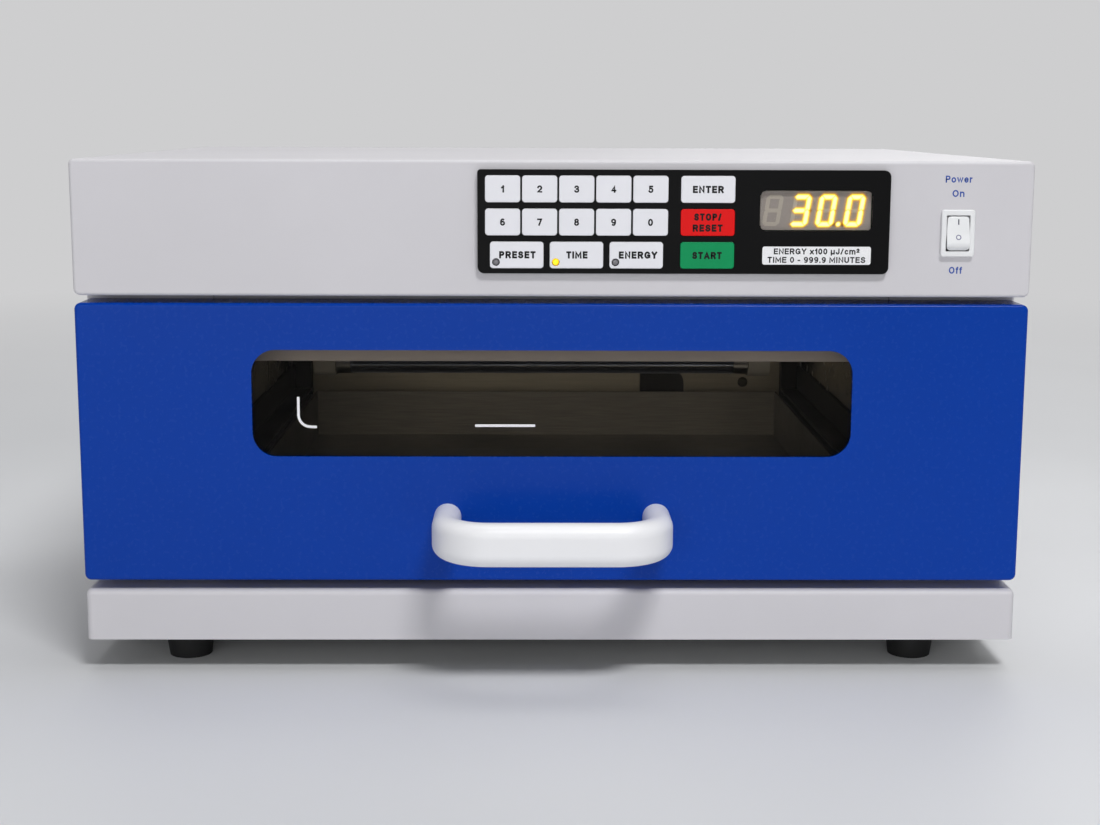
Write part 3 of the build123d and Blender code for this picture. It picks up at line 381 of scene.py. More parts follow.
def mesh_of(name, model):
    """A mesh from a working model in millimetres."""
    model.transform(Matrix.Scale(MM, 4))
    mesh = bpy.data.meshes.new(name)
    model.to_mesh(mesh)
    model.free()
    return mesh


def facing_front(x, y, z, lean=0.0):
    """Stands a drawing up to face the front, at a place in millimetres, its top leaning back."""
    return Matrix.Translation((x, y, z)) @ Matrix.Rotation(math.pi / 2 - lean, 4, "X")


ARC_STEP = 15


def arc(centre_x, centre_y, reach_x, reach_y, start, end):
    """Points along an elliptic arc between two angles in degrees."""
    steps = max(3, round(abs(end - start) / ARC_STEP))
    angles = [math.radians(start + (end - start) * step / steps) for step in range(steps + 1)]
    return [(centre_x + reach_x * math.cos(a), centre_y + reach_y * math.sin(a)) for a in angles]


def add_plate(model, outline, thickness):
    """Adds a flat plate with this outline."""
    back = [model.verts.new((x, y, 0)) for x, y in outline]
    front = [model.verts.new((x, y, thickness)) for x, y in outline]
    model.faces.new(back[::-1])
    model.faces.new(front)
    for index in range(len(outline)):
        following = (index + 1) % len(outline)
        model.faces.new((back[index], back[following], front[following], front[index]))


SAME_POINT = 1e-6
SHARPEST_TURN = 0.2
LONGEST_MITRE = 1.8


def add_band(model, path, width, top):
    """Adds a flat band of this width along a path, with mitred turns and square ends.

    A path that ends where it starts is closed.
    """
    points = [Vector(point) for point in path]
    closed = (points[0] - points[-1]).length < SAME_POINT
    if closed:
        points.pop()
    else:
        points[0] -= (points[1] - points[0]).normalized() * width / 2
        points[-1] += (points[-1] - points[-2]).normalized() * width / 2
    count = len(points)
    rings = []
    for index, point in enumerate(points):
        before = points[index - 1] if closed or index else None
        after = points[(index + 1) % count] if closed or index < count - 1 else None
        into = (point - before).normalized() if before else (after - point).normalized()
        away = (after - point).normalized() if after else into
        along = (into + away).normalized()
        mitre = min(1 / max(along.dot(into), SHARPEST_TURN), LONGEST_MITRE)
        side = Vector((-along.y, along.x)) * width / 2 * mitre
        corners = ((point + side, top), (point - side, top), (point - side, 0), (point + side, 0))
        rings.append([model.verts.new((corner.x, corner.y, height)) for corner, height in corners])
    for index in range(count if closed else count - 1):
        near, far = rings[index], rings[(index + 1) % count]
        for corner in range(4):
            following = (corner + 1) % 4
            model.faces.new((near[corner], near[following], far[following], far[corner]))
    if not closed:
        model.faces.new(rings[0][::-1])
        model.faces.new(rings[-1])


def bands(name, paths, width, place, finish, body):
    """Flat bands of ink along paths in millimetres."""
    model = bmesh.new()
    for index, path in enumerate(paths):
        add_band(model, path, width, FILM + index * INK_STEP)
    model.transform(place)
    bmesh.ops.recalc_face_normals(model, faces=model.faces)
    return add_piece(name, mesh_of(name, model), finish, body)


def loop(centre_x, centre_y, reach_x, reach_y):
    """A closed ellipse."""
    return arc(centre_x, centre_y, reach_x, reach_y, 0, 360)


# Letters drawn as strokes in a unit box, each with its width as a share of the capitals' height
two = arc(0.5, 0.69, 0.5, 0.31, 165, -35) + [(0, 0), (1, 0)]
bowl = arc(0.6, 0.74, 0.4, 0.26, 90, -90)
GLYPHS = {
    "0": (0.60, [loop(0.5, 0.5, 0.5, 0.5)]),
    "1": (0.36, [[(0, 0.74), (1, 0.9)], [(1, 0), (1, 1)]]),
    "2": (0.60, [two]),
    "3": (0.60, [arc(0.47, 0.75, 0.44, 0.25, 160, -90), arc(0.48, 0.26, 0.52, 0.26, 90, -158)]),
    "4": (0.64, [[(0.72, 0), (0.72, 1), (0, 0.26), (1, 0.26)]]),
    "5": (0.60, [[(0.9, 1), (0.17, 1), (0.08, 0.5)] + arc(0.47, 0.33, 0.53, 0.33, 128, -152)]),
    "6": (0.60, [loop(0.5, 0.29, 0.5, 0.29), [(0, 0.29)] + arc(0.52, 0.5, 0.52, 0.5, 175, 62)]),
    "7": (0.60, [[(0, 1), (1, 1), (0.36, 0)]]),
    "8": (0.60, [loop(0.5, 0.77, 0.42, 0.23), loop(0.5, 0.27, 0.5, 0.27)]),
    "9": (0.60, [loop(0.5, 0.71, 0.5, 0.29), [(1, 0.71)] + arc(0.48, 0.5, 0.52, 0.5, -5, -118)]),
    "A": (0.78, [[(0, 0), (0.5, 1), (1, 0)], [(0.2, 0.28), (0.8, 0.28)]]),
    "E": (0.62, [[(1, 1), (0, 1), (0, 0), (1, 0)], [(0, 0.52), (0.92, 0.52)]]),
    "G": (0.76, [arc(0.5, 0.5, 0.5, 0.5, 40, 318) + [(1, 0.14), (1, 0.44), (0.62, 0.44)]]),
    "I": (0.20, [[(0.5, 0), (0.5, 1)]]),
    "J": (0.56, [[(1, 1), (1, 0.3)] + arc(0.5, 0.3, 0.5, 0.3, 0, -170)]),
    "M": (0.84, [[(0, 0), (0, 1), (0.5, 0.22), (1, 1), (1, 0)]]),
    "N": (0.70, [[(0, 0), (0, 1), (1, 0), (1, 1)]]),
    "O": (0.78, [loop(0.5, 0.5, 0.5, 0.5)]),
    "P": (0.66, [[(0, 0), (0, 1), *bowl, (0, 0.48)]]),
    "R": (0.70, [[(0, 0), (0, 1), *bowl, (0, 0.48)], [(0.55, 0.48), (0.97, 0)]]),
    "S": (0.66, [arc(0.5, 0.75, 0.46, 0.25, 24, 250) + arc(0.48, 0.26, 0.52, 0.26, 75, -160)]),
    "T": (0.64, [[(0, 1), (1, 1)], [(0.5, 1), (0.5, 0)]]),
    "U": (0.68, [[(0, 1), (0, 0.34)] + arc(0.5, 0.34, 0.5, 0.34, 180, 360) + [(1, 1)]]),
    "Y": (0.72, [[(0, 1), (0.5, 0.46), (1, 1)], [(0.5, 0.46), (0.5, 0)]]),
    "/": (0.46, [[(0, 0), (1, 1)]]),
    "c": (0.56, [arc(0.5, 0.36, 0.5, 0.36, 45, 315)]),
    "e": (0.60, [[(0.04, 0.37), (1, 0.37)] + arc(0.5, 0.36, 0.5, 0.36, 5, 318)]),
    "f": (0.36, [[(1, 1), (0.72, 1), (0.42, 0.86), (0.42, 0)], [(0, 0.7), (0.95, 0.7)]]),
    "m": (0.92, [[(0, 0), (0, 0.72)], [(0, 0.5)] + arc(0.25, 0.46, 0.25, 0.26, 180, 0) + [(0.5, 0)]]
          + [[(0.5, 0.5)] + arc(0.75, 0.46, 0.25, 0.26, 180, 0) + [(1, 0)]]),
    "n": (0.58, [[(0, 0), (0, 0.72)], [(0, 0.44)] + arc(0.5, 0.44, 0.5, 0.28, 180, 0) + [(1, 0)]]),
    "o": (0.64, [loop(0.5, 0.36, 0.5, 0.36)]),
    "r": (0.38, [[(0, 0), (0, 0.72)], [(0, 0.4), (0.35, 0.64), (1, 0.7)]]),
    "w": (0.86, [[(0, 0.72), (0.26, 0), (0.5, 0.72), (0.74, 0), (1, 0.72)]]),
    "x": (0.60, [[(0, 0), (1, 0.72)], [(0, 0.72), (1, 0)]]),
    "µ": (0.60, [[(0, 0.72), (0, -0.25)], [(0, 0.28)] + arc(0.5, 0.28, 0.5, 0.28, 180, 360)]
          + [[(1, 0.72), (1, 0)]]),
    "²": (0.44, [[(x, 0.36 + y * 0.64) for x, y in two]]),
    ".": (0.20, [[(0.5, 0), (0.5, 0.001)]]),
    "-": (0.38, [[(0, 0.38), (1, 0.38)]]),
    " ": (0.22, []),
}
LETTER_GAP = 0.15
BOLD = 0.26
MEDIUM = 0.22
SLIM = 0.21
LIGHT = 0.19


def lettering(name, words, place, height, width, finish, body, weight):
    """Printed words, centred on a place, with their height and width in millimetres.

    The weight is the strokes' width as a share of the height.
    """
    stroke = weight * height
    natural = sum(GLYPHS[letter][0] for letter in words) + LETTER_GAP * (len(words) - 1)
    stretch = width / natural
    left = -width / 2
    paths = []
    for letter in words:
        share, strokes = GLYPHS[letter]
        reach = max(share * stretch - stroke, 0)
        start = left + (share * stretch - reach) / 2
        for path in strokes:
            paths.append([(start + x * reach, (y - 0.5) * (height - stroke)) for x, y in path])
        left += (share + LETTER_GAP) * stretch
    return bands(name, paths, stroke, place, finish, body)


def lathe(name, profile, place, finish, body, count=40):
    """A round piece: a profile of radius and height in millimetres, turned about its axis."""
    model = bmesh.new()
    turns = [2 * math.pi * index / count for index in range(count)]
    rings = []
    for radius, height in profile:
        spots = [(radius * math.cos(turn), radius * math.sin(turn), height) for turn in turns]
        rings.append([model.verts.new(spot) for spot in spots])
    for low, high in zip(rings, rings[1:]):
        for index in range(count):
            following = (index + 1) % count
            model.faces.new((low[index], low[following], high[following], high[index]))
    model.faces.new(rings[0][::-1])
    model.faces.new(rings[-1])
    model.transform(place)
    return add_piece(name, mesh_of(name, model), finish, body, smooth=True)


def wires(name, paths, radius, finish, body):
    """Round wires along paths in millimetres."""
    curve = bpy.data.curves.new(name, "CURVE")
    curve.dimensions = "3D"
    curve.bevel_depth = radius * MM
    curve.bevel_resolution = 3
    curve.use_fill_caps = True
    for path in paths:
        spline = curve.splines.new("POLY")
        spline.points.add(len(path) - 1)
        for point, spot in zip(spline.points, path):
            point.co = (spot[0] * MM, spot[1] * MM, spot[2] * MM, 1)
    drawn = bpy.data.objects.new(name + "_drawn", curve)
    bpy.context.scene.collection.objects.link(drawn)
    bpy.context.view_layer.update()
    evaluated = drawn.evaluated_get(bpy.context.evaluated_depsgraph_get())
    mesh = bpy.data.meshes.new_from_object(evaluated)
    bpy.data.objects.remove(drawn)
    bpy.data.curves.remove(curve)
    return add_piece(name, mesh, finish, body, smooth=True)


# ---------------------------------------------------------------- print on the keys
WORD_HEIGHT = 3.2
DIGIT_WIDTH = 2.2
ONE_WIDTH = 1.35
LINE_LIFT = 2.45


def print_on_key(key, words, title, shift_x, shift_z, word_width):
    """Words in the middle of a key's face, or a little off it."""
    centre = middle_of(key)
    place = facing_front(centre.x + shift_x, box_mm(key)[0].y, centre.z + shift_z)
    weight = MEDIUM if words.isdigit() else BOLD
    name, body = f"print_{title}", f"{key}_cap"
    lettering(name, words, place, WORD_HEIGHT, word_width, ink_dark, body, weight)


for digit in "0123456789":
    digit_width = DIGIT_WIDTH if digit != "1" else ONE_WIDTH
    print_on_key(f"key_{digit}", digit, digit, 0, 0, digit_width)
for key, words, shift_x, shift_z, word_width, key_slot in (
    ("key_preset", "PRESET", 0.3, 0.1, 16.3, "key_white"),
    ("key_time", "TIME", 0.2, 0.1, 9.5, "key_white"),
    ("key_energy", "ENERGY", 0.8, 0.1, 17.2, "key_white"),
    ("key_enter", "ENTER", 0.0, 0.0, 13.8, "key_white"),
    ("key_stop", "STOP/", 0.0, LINE_LIFT, 12.2, "key_red"),
    ("key_stop", "RESET", 0.0, -LINE_LIFT, 13.4, "key_red"),
    ("key_start", "START", -0.1, 0.0, 13.2, "key_green"),
):
    print_on_key(key, words, words.strip("/").lower(), shift_x, shift_z, word_width)

# ---------------------------------------------------------------- switch labels and window print
FASCIA_Y = box_mm("upper_cover")[0].y
SWITCH = middle_of("switch_frame")
LABEL_HEIGHT = 3.1
LABEL_X = SWITCH.x - 0.1
for word, lift, label_width in (("Power", 24.1, 12.0), ("On", 17.75, 5.4), ("Off", -16.7, 5.9)):
    place = facing_front(LABEL_X, FASCIA_Y, SWITCH.z + lift)
    name = f"label_{word.lower()}"
    lettering(
        name, word, place, LABEL_HEIGHT, label_width, ink_blue, "cabinet", LIGHT
    )

# A hook and a line on the pane, which frame the place that is left bare
PANE_Y = box_mm("window_pane")[0].y
HOOK_X = -115.9
HOOK_TOP = 128.6
HOOK_BEND = 120.8
BEND_REACH = (5.2, 5.4)
HOOK_FOOT = [(-110.2, 115.35), (-108.2, 115.3)]
LINE_X = (-34.7, -8.4)
LINE_Z = 116.0
MARK_WIDTH = 1.2
hook_bend = arc(HOOK_X + BEND_REACH[0], HOOK_BEND, *BEND_REACH, 195, 255)
hook = [(HOOK_X, HOOK_TOP), (HOOK_X, HOOK_BEND)] + hook_bend + HOOK_FOOT
line = [(x, LINE_Z) for x in LINE_X]
on_pane = facing_front(0, PANE_Y, 0)
bands("window_print", [hook, line], MARK_WIDTH, on_pane, ink_white, "drawer")

# ---------------------------------------------------------------- display
OVERLAY_Y = box_mm("overlay_panel")[0].y
UNIT_LABEL = (118.4, 194.4)
UNIT_LABEL_HALF = (24.4, 4.05)
UNIT_LABEL_CORNER = 1.0
UNIT_HEIGHT = 2.65
UNIT_LIFT = 1.9
QUARTERS = ((1, 1, 0), (-1, 1, 90), (-1, -1, 180), (1, -1, 270))


def rounded_corners(half_x, half_z, radius):
    """The four corner arcs of a rounded rectangle, anticlockwise from the upper right one."""
    corners = []
    for side_x, side_z, start in QUARTERS:
        centre = (side_x * (half_x - radius), side_z * (half_z - radius))
        corners.append(arc(*centre, radius, radius, start, start + 90))
    return corners


model = bmesh.new()
add_plate(model, sum(rounded_corners(*UNIT_LABEL_HALF, UNIT_LABEL_CORNER), []), FILM)
model.transform(facing_front(UNIT_LABEL[0], OVERLAY_Y, UNIT_LABEL[1]))
add_piece("unit_label", mesh_of("unit_label", model), label_white, "cabinet")
for title, words, lift, line_width in (
    ("energy", "ENERGY x100 µJ/cm²", UNIT_LIFT, 38.5),
    ("time", "TIME 0 - 999.9 MINUTES", -UNIT_LIFT, 44),
):
    place = facing_front(UNIT_LABEL[0], OVERLAY_Y - FILM, UNIT_LABEL[1] + lift)
    name = f"unit_{title}"
    lettering(
        name, words, place, UNIT_HEIGHT, line_width, ink_dark, "cabinet", SLIM
    )

# Film that rounds the corners of the display's window
WINDOW_CORNER = 2.0
CORNER_GRIP = 0.9
face_low, face_high = box_mm("display_module")
face_middle = (face_low + face_high) / 2
face_half_x = (face_high.x - face_low.x) / 2
face_half_z = (face_high.z - face_low.z) / 2
model = bmesh.new()
roundings = rounded_corners(face_half_x, face_half_z, WINDOW_CORNER)
for (side_x, side_z, start), rounding in zip(QUARTERS, roundings):
    corner = (side_x * (face_half_x + CORNER_GRIP), side_z * (face_half_z + CORNER_GRIP))
    above = (side_x * (face_half_x - WINDOW_CORNER), corner[1])
    beside = (corner[0], side_z * (face_half_z - WINDOW_CORNER))
    sides = [above, corner, beside] if side_x == side_z else [beside, corner, above]
    add_plate(model, rounding + sides, FILM)
bmesh.ops.recalc_face_normals(model, faces=model.faces)
model.transform(facing_front(face_middle.x, OVERLAY_Y, face_middle.z))
corner_mesh = mesh_of("window_corners", model)
add_piece("window_corners", corner_mesh, finishes["overlay_black"], "cabinet")

DIGIT_GAP = 0.12
DIGIT_Y = face_low.y - DIGIT_GAP
DIGIT_Z = 214.45
DIGIT_HALF = (2.95, 6.05)
DIGIT_SLANT = math.tan(math.radians(9))
POINT_X = 129.0
POINT_RADII = (0.45, 0.75, 1.05, 1.4, 2.4)
TIP_REACH = 0.5
PATCH_STEP = 0.004
LIT_FORWARD = 0.06
POINT_FORWARD = 0.1
SEGMENTS = {
    "top": ((-1, 1), (1, 1)),
    "middle": ((-1, 0), (1, 0)),
    "bottom": ((-1, -1), (1, -1)),
    "upper_left": ((-1, 0), (-1, 1)),
    "upper_right": ((1, 0), (1, 1)),
    "lower_left": ((-1, -1), (-1, 0)),
    "lower_right": ((1, -1), (1, 0)),
}
FIGURES = {
    "8": tuple(SEGMENTS),
    "3": ("top", "middle", "bottom", "upper_right", "lower_right"),
    "0": ("top", "bottom", "upper_left", "upper_right", "lower_left", "lower_right"),
}
# Each bar's nested half widths, from its core out, and the glow on each
UNLIT = ((0.7, 0.9), (1.0, 1.0))
LIT = ((0.45, 0.75, 1.2, 1.65, 2.9), (1.0, 0.95, 0.78, 0.32, 0.0))


def bar_rings(start, end, half_widths):
    """Nested six-cornered outlines of one bar, from its core out to its rim."""
    start, end = Vector(start), Vector(end)
    along = (end - start).normalized()
    side = Vector((-along.y, along.x))
    rings = []
    for half_width in half_widths:
        reach = along * (half_width - TIP_REACH)
        low, high = start - reach, end + reach
        across, inward = side * half_width, along * half_width
        near, far = low + inward, high - inward
        rings.append([low, near - across, far - across, high, far + across, near + across])
    return rings


def glow_patches(name, centre_x, patches, glow_values, finish, forward):
    """Nested flat rings, each patch from its core out, with a glow value on every corner."""
    model = bmesh.new()
    glow_layer = model.verts.layers.float.new("glow")
    for index, rings in enumerate(patches):
        depth = forward + index * PATCH_STEP
        made = []
        for ring, glow in zip(rings, glow_values):
            corners = [model.verts.new((x + DIGIT_SLANT * z, z, depth)) for x, z in ring]
            for corner in corners:
                corner[glow_layer] = glow
            made.append(corners)
        model.faces.new(made[0])
        for inner, outer in zip(made, made[1:]):
            for corner in range(len(inner)):
                following = (corner + 1) % len(inner)
                model.faces.new((outer[corner], outer[following], inner[following], inner[corner]))
    model.transform(facing_front(centre_x, DIGIT_Y, DIGIT_Z))
    return add_piece(name, mesh_of(name, model), finish, "cabinet")


def segment_digit(name, centre_x, figure, finish, widths_and_glow, forward=0.0):
    """One slanted seven-segment figure."""
    widths, glow_values = widths_and_glow
    patches = []
    for segment in FIGURES[figure]:
        ends = [(x * DIGIT_HALF[0], z * DIGIT_HALF[1]) for x, z in SEGMENTS[segment]]
        patches.append(bar_rings(*ends, widths))
    glow_patches(name, centre_x, patches, glow_values, finish, forward)


segment_digit("digit_thousands", 98.6, "8", unlit_grey, UNLIT)
for title, centre_x, figure in (("tens", 111.0, "3"), ("ones", 122.6, "0"), ("tenths", 135.2, "0")):
    segment_digit(f"digit_{title}_unlit", centre_x, "8", unlit_grey, UNLIT)
    segment_digit(f"digit_{title}", centre_x, figure, lit_amber, LIT, LIT_FORWARD)
point_rings = [loop(0, -DIGIT_HALF[1], radius, radius)[:-1] for radius in POINT_RADII]
glow_patches("digit_point", POINT_X, [point_rings], LIT[1], lit_amber, POINT_FORWARD)

# ---------------------------------------------------------------- indicators
LED_FROM_KEY = (-9.3, -3.2)
led_profile = [(1.4, -12), (1.4, -1.0), (1.36, -0.6), (1.15, -0.25), (0.7, -0.05), (0.05, 0.0)]
led_front = box_mm("indicator_leds")[0].y
for word, finish in (("preset", diode_off), ("time", diode_on), ("energy", diode_off)):
    centre = middle_of(f"key_{word}")
    place = facing_front(centre.x + LED_FROM_KEY[0], led_front, centre.z + LED_FROM_KEY[1])
    led = lathe(f"indicator_{word}", led_profile, place, finish, "cabinet")
    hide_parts("indicator_leds")

# ---------------------------------------------------------------- rocker
# The rocker's profile is drawn in its side view: depth to the rear, then height
PIVOT_FORWARD = 0.3
PIVOT = Vector((FASCIA_Y - PIVOT_FORWARD, SWITCH.z))
CORE_DEPTH = 1.5
CORE = PIVOT + Vector((CORE_DEPTH, 0))
ROCKER_RADIUS = 7.75
ROCKER_HALF_WIDTH = 5.22
ROCKER_TILT = 11
ROCKER_SPREAD = 22
# The end arcs' points are this many degrees apart, at these steps from the front backwards
END_STEP = 4.4
UPPER_STEPS = range(2, 11)
LOWER_STEPS = range(6)
VALLEY_DEPTH = 2.2
VALLEY_RADIUS = 14.0
UPPER_NOSE_RADIUS = 0.8
LOWER_NOSE_RADIUS = 3.4
HEEL_REACH = 5
OUTLINE_RADIUS = 2.0
THINNEST = 0.1
EDGE_RADIUS = 0.4
EDGE_STEPS = 4
PIN_RADIUS = 0.9
PIN_LENGTH = 12.0


def rim_point(angle, end):
    """A point on the upper (1) or lower (-1) end arc, this many degrees forward of upright."""
    lean = math.radians(angle)
    return PIVOT + Vector((-ROCKER_RADIUS * math.sin(lean), end * ROCKER_RADIUS * math.cos(lean)))


def rounded_corner(before, corner, after, radius, steps=8):
    """Points of an arc that rounds a corner between two straight sides."""
    inward = (before - corner).normalized()
    outward = (after - corner).normalized()
    half_angle = inward.angle(outward) / 2
    reach = radius / math.tan(half_angle)
    centre = corner + (inward + outward).normalized() * radius / math.sin(half_angle)
    first = corner + inward * reach - centre
    turn = -first.angle_signed(corner + outward * reach - centre)
    arc_points = []
    for step in range(steps + 1):
        cosine, sine = math.cos(turn * step / steps), math.sin(turn * step / steps)
        turned = (first.x * cosine - first.y * sine, first.x * sine + first.y * cosine)
        arc_points.append(centre + Vector(turned))
    return arc_points


def rocker_profile():
    """The rocker's closed side profile, with its upper end pressed in."""
    tilt = math.radians(ROCKER_TILT)
    upper_angle = ROCKER_SPREAD - ROCKER_TILT
    valley = PIVOT + Vector((-VALLEY_DEPTH, 0))
    upper_front = rim_point(upper_angle, 1)
    lower_front = rim_point(ROCKER_SPREAD + ROCKER_TILT, -1)
    upper_arc = [rim_point(upper_angle - END_STEP * step, 1) for step in UPPER_STEPS]
    lower_arc = [rim_point(-upper_angle + END_STEP * step, -1) for step in LOWER_STEPS]
    heel = PIVOT + Vector((HEEL_REACH * math.cos(tilt), -HEEL_REACH * math.sin(tilt)))
    points = rounded_corner(valley, upper_front, upper_arc[0], UPPER_NOSE_RADIUS)
    points += upper_arc + [heel] + lower_arc
    points += rounded_corner(lower_arc[-1], lower_front, valley, LOWER_NOSE_RADIUS)
    return points + rounded_corner(lower_front, valley, upper_front, VALLEY_RADIUS)


def half_width_at(z):
    """The rocker's half width at a height, less near its ends, where the outline is rounded."""
    past = max(abs(z - SWITCH.z) - (ROCKER_RADIUS - OUTLINE_RADIUS), 0)
    rounding = math.sqrt(max(OUTLINE_RADIUS**2 - past**2, THINNEST**2))
    return ROCKER_HALF_WIDTH - OUTLINE_RADIUS + rounding


def rocker_ring(model, point, along):
    """One row of points across the rocker at a point of its profile, with rounded edges."""
    inward = Vector((-along.y, along.x))
    if inward.dot(CORE - point) < 0:
        inward = -inward
    half_width = half_width_at(point.y)
    across = []
    for step in range(EDGE_STEPS + 1):
        turn = math.pi / 2 * step / EDGE_STEPS
        x = half_width - EDGE_RADIUS * (1 - math.cos(turn))
        across.append((x, point + inward * EDGE_RADIUS * (1 - math.sin(turn))))
    full = [(-x, spot) for x, spot in across] + across[::-1]
    return [model.verts.new((x, spot.x, spot.y)) for x, spot in full]


profile = rocker_profile()
model = bmesh.new()
rings = []
for index, point in enumerate(profile):
    along = (profile[(index + 1) % len(profile)] - profile[index - 1]).normalized()
    rings.append(rocker_ring(model, point, along))
for index, ring in enumerate(rings):
    following = rings[(index + 1) % len(rings)]
    for low, high in zip(range(len(ring) - 1), range(1, len(ring))):
        model.faces.new((ring[low], ring[high], following[high], following[low]))
model.faces.new([ring[0] for ring in rings])
model.faces.new([ring[-1] for ring in rings][::-1])
bmesh.ops.create_cone(
    model,
    cap_ends=True,
    segments=24,
    radius1=PIN_RADIUS,
    radius2=PIN_RADIUS,
    depth=PIN_LENGTH,
    matrix=Matrix.Translation((0, PIVOT.x, PIVOT.y)) @ Matrix.Rotation(math.pi / 2, 4, "Y"),
)
bmesh.ops.recalc_face_normals(model, faces=model.faces)
model.transform(Matrix.Translation((SWITCH.x, 0, 0)))
rocker_mesh = mesh_of("rocker_button", model)
nylon = finishes["switch_white"]
rocker = add_piece("rocker_button", rocker_mesh, nylon, "rocker", smooth=True)
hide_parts("power_rocker")

MARK_X = SWITCH.x + 0.05
MARK_LIFT = 0.015


def on_rocker_face(z):
    """A place for ink on the rocker's face at this height, leaning with the face."""
    for low, high in zip(profile, profile[1:] + profile[:1]):
        if low.x < PIVOT.x and high.x < PIVOT.x and low.y <= z < high.y:
            share = (z - low.y) / (high.y - low.y)
            y = low.x + share * (high.x - low.x)
            lean = math.atan2(high.x - low.x, high.y - low.y)
            return facing_front(MARK_X, y - MARK_LIFT, z, lean)


for title, path, width, lift, finish in (
    ("off", loop(0, 0, 1.0, 1.0), 0.42, -1.7, ink_mark),
    ("on", [(0, -0.95), (0, 0.95)], 0.5, 5.1, ink_mark_dark),
):
    place = on_rocker_face(SWITCH.z + lift)
    bands(f"mark_{title}", [path], width, place, finish, "rocker")

# ---------------------------------------------------------------- lamps and chamber details
LAMP_COUNT = 5
LAMP_RADIUS = 7.75
LEAD_HALF_GAP = 2.6
LEAD_BEND = 5
# The leads' gap at the cap and at the bend, as shares of their gap at the coil
ROOT_SHARE = 0.6
BEND_SHARE = 0.7
COIL_REACH = 12
COIL_RADIUS = 0.55
COIL_TURNS = 7
STEPS_PER_TURN = 12
WIRE_RADIUS = 0.14
lamps_low, lamps_high = box_mm("uv_lamps")
lamp_z = (lamps_low.z + lamps_high.z) / 2
lamp_pitch = (lamps_high.y - lamps_low.y - 2 * LAMP_RADIUS) / (LAMP_COUNT - 1)
filament_paths = []
for lamp in range(LAMP_COUNT):
    lamp_y = lamps_low.y + LAMP_RADIUS + lamp_pitch * lamp
    for cap_x, inward in ((lamps_low.x, 1), (lamps_high.x, -1)):
        coil_x = cap_x + inward * COIL_REACH
        for lead in (-LEAD_HALF_GAP, LEAD_HALF_GAP):
            root = (cap_x, lamp_y + lead * ROOT_SHARE, lamp_z)
            bend = (cap_x + inward * LEAD_BEND, lamp_y + lead * BEND_SHARE, lamp_z)
            filament_paths.append([root, bend, (coil_x, lamp_y + lead, lamp_z)])
        coil = []
        coil_steps = STEPS_PER_TURN * COIL_TURNS
        for step in range(coil_steps + 1):
            turn = 2 * math.pi * step / STEPS_PER_TURN
            x = coil_x + COIL_RADIUS * math.cos(turn)
            y = lamp_y - LEAD_HALF_GAP + 2 * LEAD_HALF_GAP * step / coil_steps
            coil.append((x, y, lamp_z + COIL_RADIUS * math.sin(turn)))
        filament_paths.append(coil)
wires("lamp_filaments", filament_paths, WIRE_RADIUS, finishes["lamp_cap"], "cabinet")

PLUG_X = 123.0
PLUG_Z = 92.1
plug_profile = [(3.1, 0.0), (2.6, 0.7), (1.6, 1.2), (0.05, 1.4)]
plug_plastic = moulded("plug_plastic", linear(92, 88, 76), 0.5)
plug_place = facing_front(PLUG_X, box_mm("chamber_back_wall")[0].y, PLUG_Z)
lathe("chamber_plug", plug_profile, plug_place, plug_plastic, "cabinet")

# ---------------------------------------------------------------- floor and backdrop
# In metres: a floor that curves up into a backdrop
FLOOR_HALF = 4.0
CURVE_START = 1.5
CURVE_RADIUS = 1.2
CURVE_STEPS = 12
BACKDROP_TOP = 4.5
stage_profile = [(-FLOOR_HALF, 0.0)]
for step in range(CURVE_STEPS + 1):
    turn = math.pi / 2 * step / CURVE_STEPS
    y = CURVE_START + CURVE_RADIUS * math.sin(turn)
    stage_profile.append((y, CURVE_RADIUS * (1 - math.cos(turn))))
stage_profile.append((CURVE_START + CURVE_RADIUS, BACKDROP_TOP))
model = bmesh.new()
left_edge = [model.verts.new((-FLOOR_HALF, y, z)) for y, z in stage_profile]
right_edge = [model.verts.new((FLOOR_HALF, y, z)) for y, z in stage_profile]
for near, far in zip(range(len(left_edge) - 1), range(1, len(left_edge))):
    model.faces.new((left_edge[near], right_edge[near], right_edge[far], left_edge[far]))
mesh = bpy.data.meshes.new("floor")
model.to_mesh(mesh)
model.free()
mesh.shade_smooth()
# Close to the object the floor takes its shadow. Further out it fades to the backdrop's plain tone.
BACKDROP = linear(206, 206, 207)
FADE_START = 0.5
FADE_END = 1.75
graph = Graph("pale_floor")
soft = graph.noise(3, 2)
floor_tone = graph.ramp(soft, (0.3, linear(214, 215, 217)), (0.7, linear(220, 221, 223)))
near = graph.principled(base_color=floor_tone, roughness=0.5, specular_ior_level=0.2)
far = graph.add("ShaderNodeEmission", {"Color": BACKDROP, "Strength": 1.0}).outputs[0]
away = graph.add("ShaderNodeVectorMath", {0: graph.place}, operation="LENGTH").outputs["Value"]
rays = graph.add("ShaderNodeLightPath").outputs
seen = graph.math("MAXIMUM", rays["Is Camera Ray"], rays["Is Glossy Ray"])
share = graph.math("MULTIPLY", graph.between(away, 0.0, 1.0, FADE_START, FADE_END), seen)
mesh.materials.append(graph.finish(graph.mix(share, near, far)))
floor = bpy.data.objects.new("floor", mesh)
bpy.context.scene.collection.objects.link(floor)


# ---------------------------------------------------------------- lights
def softbox(name, place, target, size, power):
    """A soft rectangular light at a place, aimed at a target, both in metres."""
    light = bpy.data.lights.new(name, "AREA")
    light.shape = "RECTANGLE"
    light.size, light.size_y = size
    light.energy = power
    lamp_object = bpy.data.objects.new(name, light)
    lamp_object.location = place
    aim = Vector(target) - Vector(place)
    lamp_object.rotation_euler = aim.to_track_quat("-Z", "Y").to_euler()
    bpy.context.scene.collection.objects.link(lamp_object)


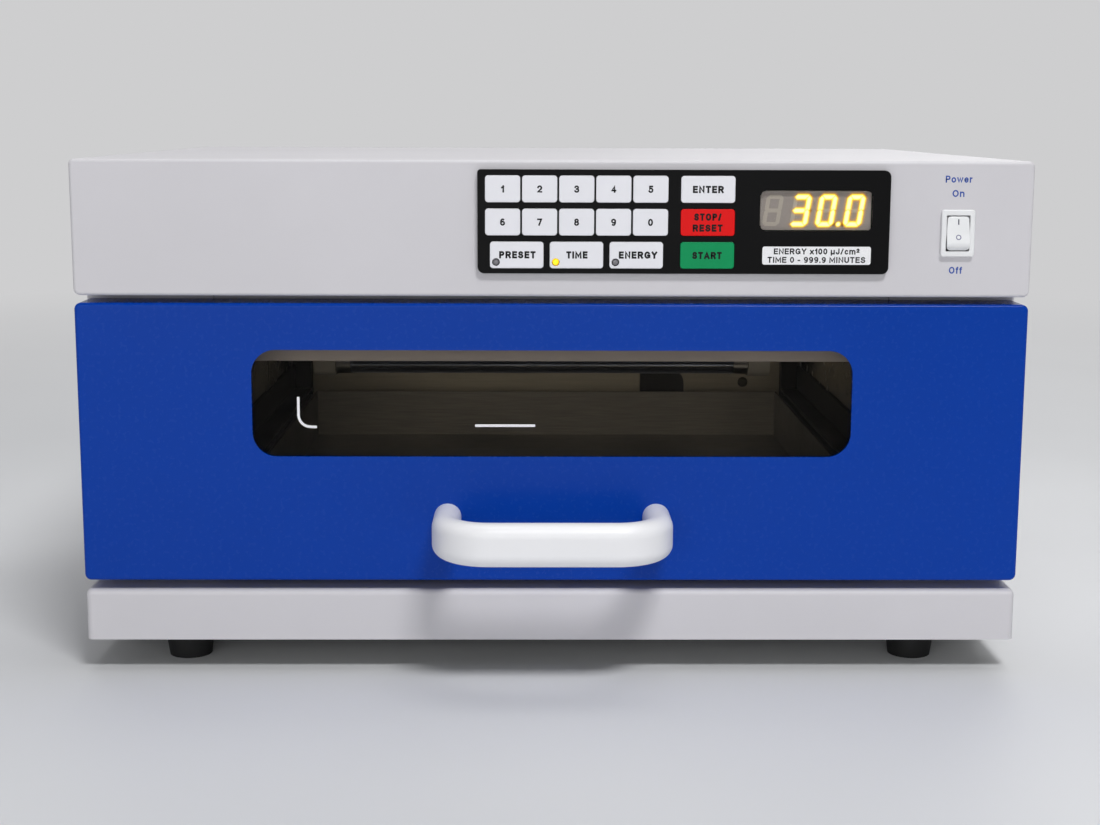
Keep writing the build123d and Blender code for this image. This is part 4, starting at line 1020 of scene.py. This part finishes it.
softbox("overhead", (0.1, 0.25, 2.3), (0, 0.15, 0.1), (2.0, 1.0), 18)
softbox("key", (0.45, -1.35, 1.9), (0, -0.15, 0.12), (0.6, 0.3), 24.5)
softbox("front_fill", (-0.5, -2.5, 0.55), (0, -0.1, 0.12), (2.0, 1.0), 13)
softbox("rear_fill", (0.9, 2.3, 1.5), (0, 0, 0.12), (1.6, 1.2), 12)


def background(tree, colour, strength):
    """A plain world background of this colour and strength."""
    node = tree.nodes.new("ShaderNodeBackground")
    node.inputs["Color"].default_value = colour
    node.inputs["Strength"].default_value = strength
    return node.outputs[0]


# The camera sees the backdrop's tone past the floor's edge, and a weak pale light fills the shadows
AMBIENT = 0.17
world = bpy.data.worlds.new("studio")
world.use_nodes = True
tree = world.node_tree
tree.nodes.clear()
shown = background(tree, BACKDROP, 1.0)
ambient = background(tree, linear(240, 242, 246), AMBIENT)
light_path = tree.nodes.new("ShaderNodeLightPath")
choose = tree.nodes.new("ShaderNodeMixShader")
world_out = tree.nodes.new("ShaderNodeOutputWorld")
tree.links.new(light_path.outputs["Is Camera Ray"], choose.inputs[0])
tree.links.new(ambient, choose.inputs[1])
tree.links.new(shown, choose.inputs[2])
tree.links.new(choose.outputs[0], world_out.inputs["Surface"])
bpy.context.scene.world = world

# ---------------------------------------------------------------- camera
# Solved from the photograph, in millimetres and degrees
CAMERA_PLACE = (-9.9, -939.0, 254.7)
FOCAL_PIXELS = 1761.1
IMAGE_WIDTH = 1100
PITCH = math.radians(9.472)
YAW = math.radians(0.640)
ROLL = math.radians(0.197)
lens = bpy.data.cameras.new("camera")
lens.sensor_fit = "HORIZONTAL"
lens.sensor_width = 36
lens.lens = FOCAL_PIXELS / IMAGE_WIDTH * lens.sensor_width
camera = bpy.data.objects.new("camera", lens)
camera.location = [value * MM for value in CAMERA_PLACE]
level = math.cos(PITCH)
looking = Vector((math.sin(YAW) * level, math.cos(YAW) * level, -math.sin(PITCH)))
camera.rotation_mode = "QUATERNION"
camera.rotation_quaternion = looking.to_track_quat("-Z", "Y") @ Quaternion((0, 0, 1), ROLL)
bpy.context.scene.collection.objects.link(camera)
bpy.context.scene.camera = camera
bpy.context.scene.view_settings.view_transform = "Standard"
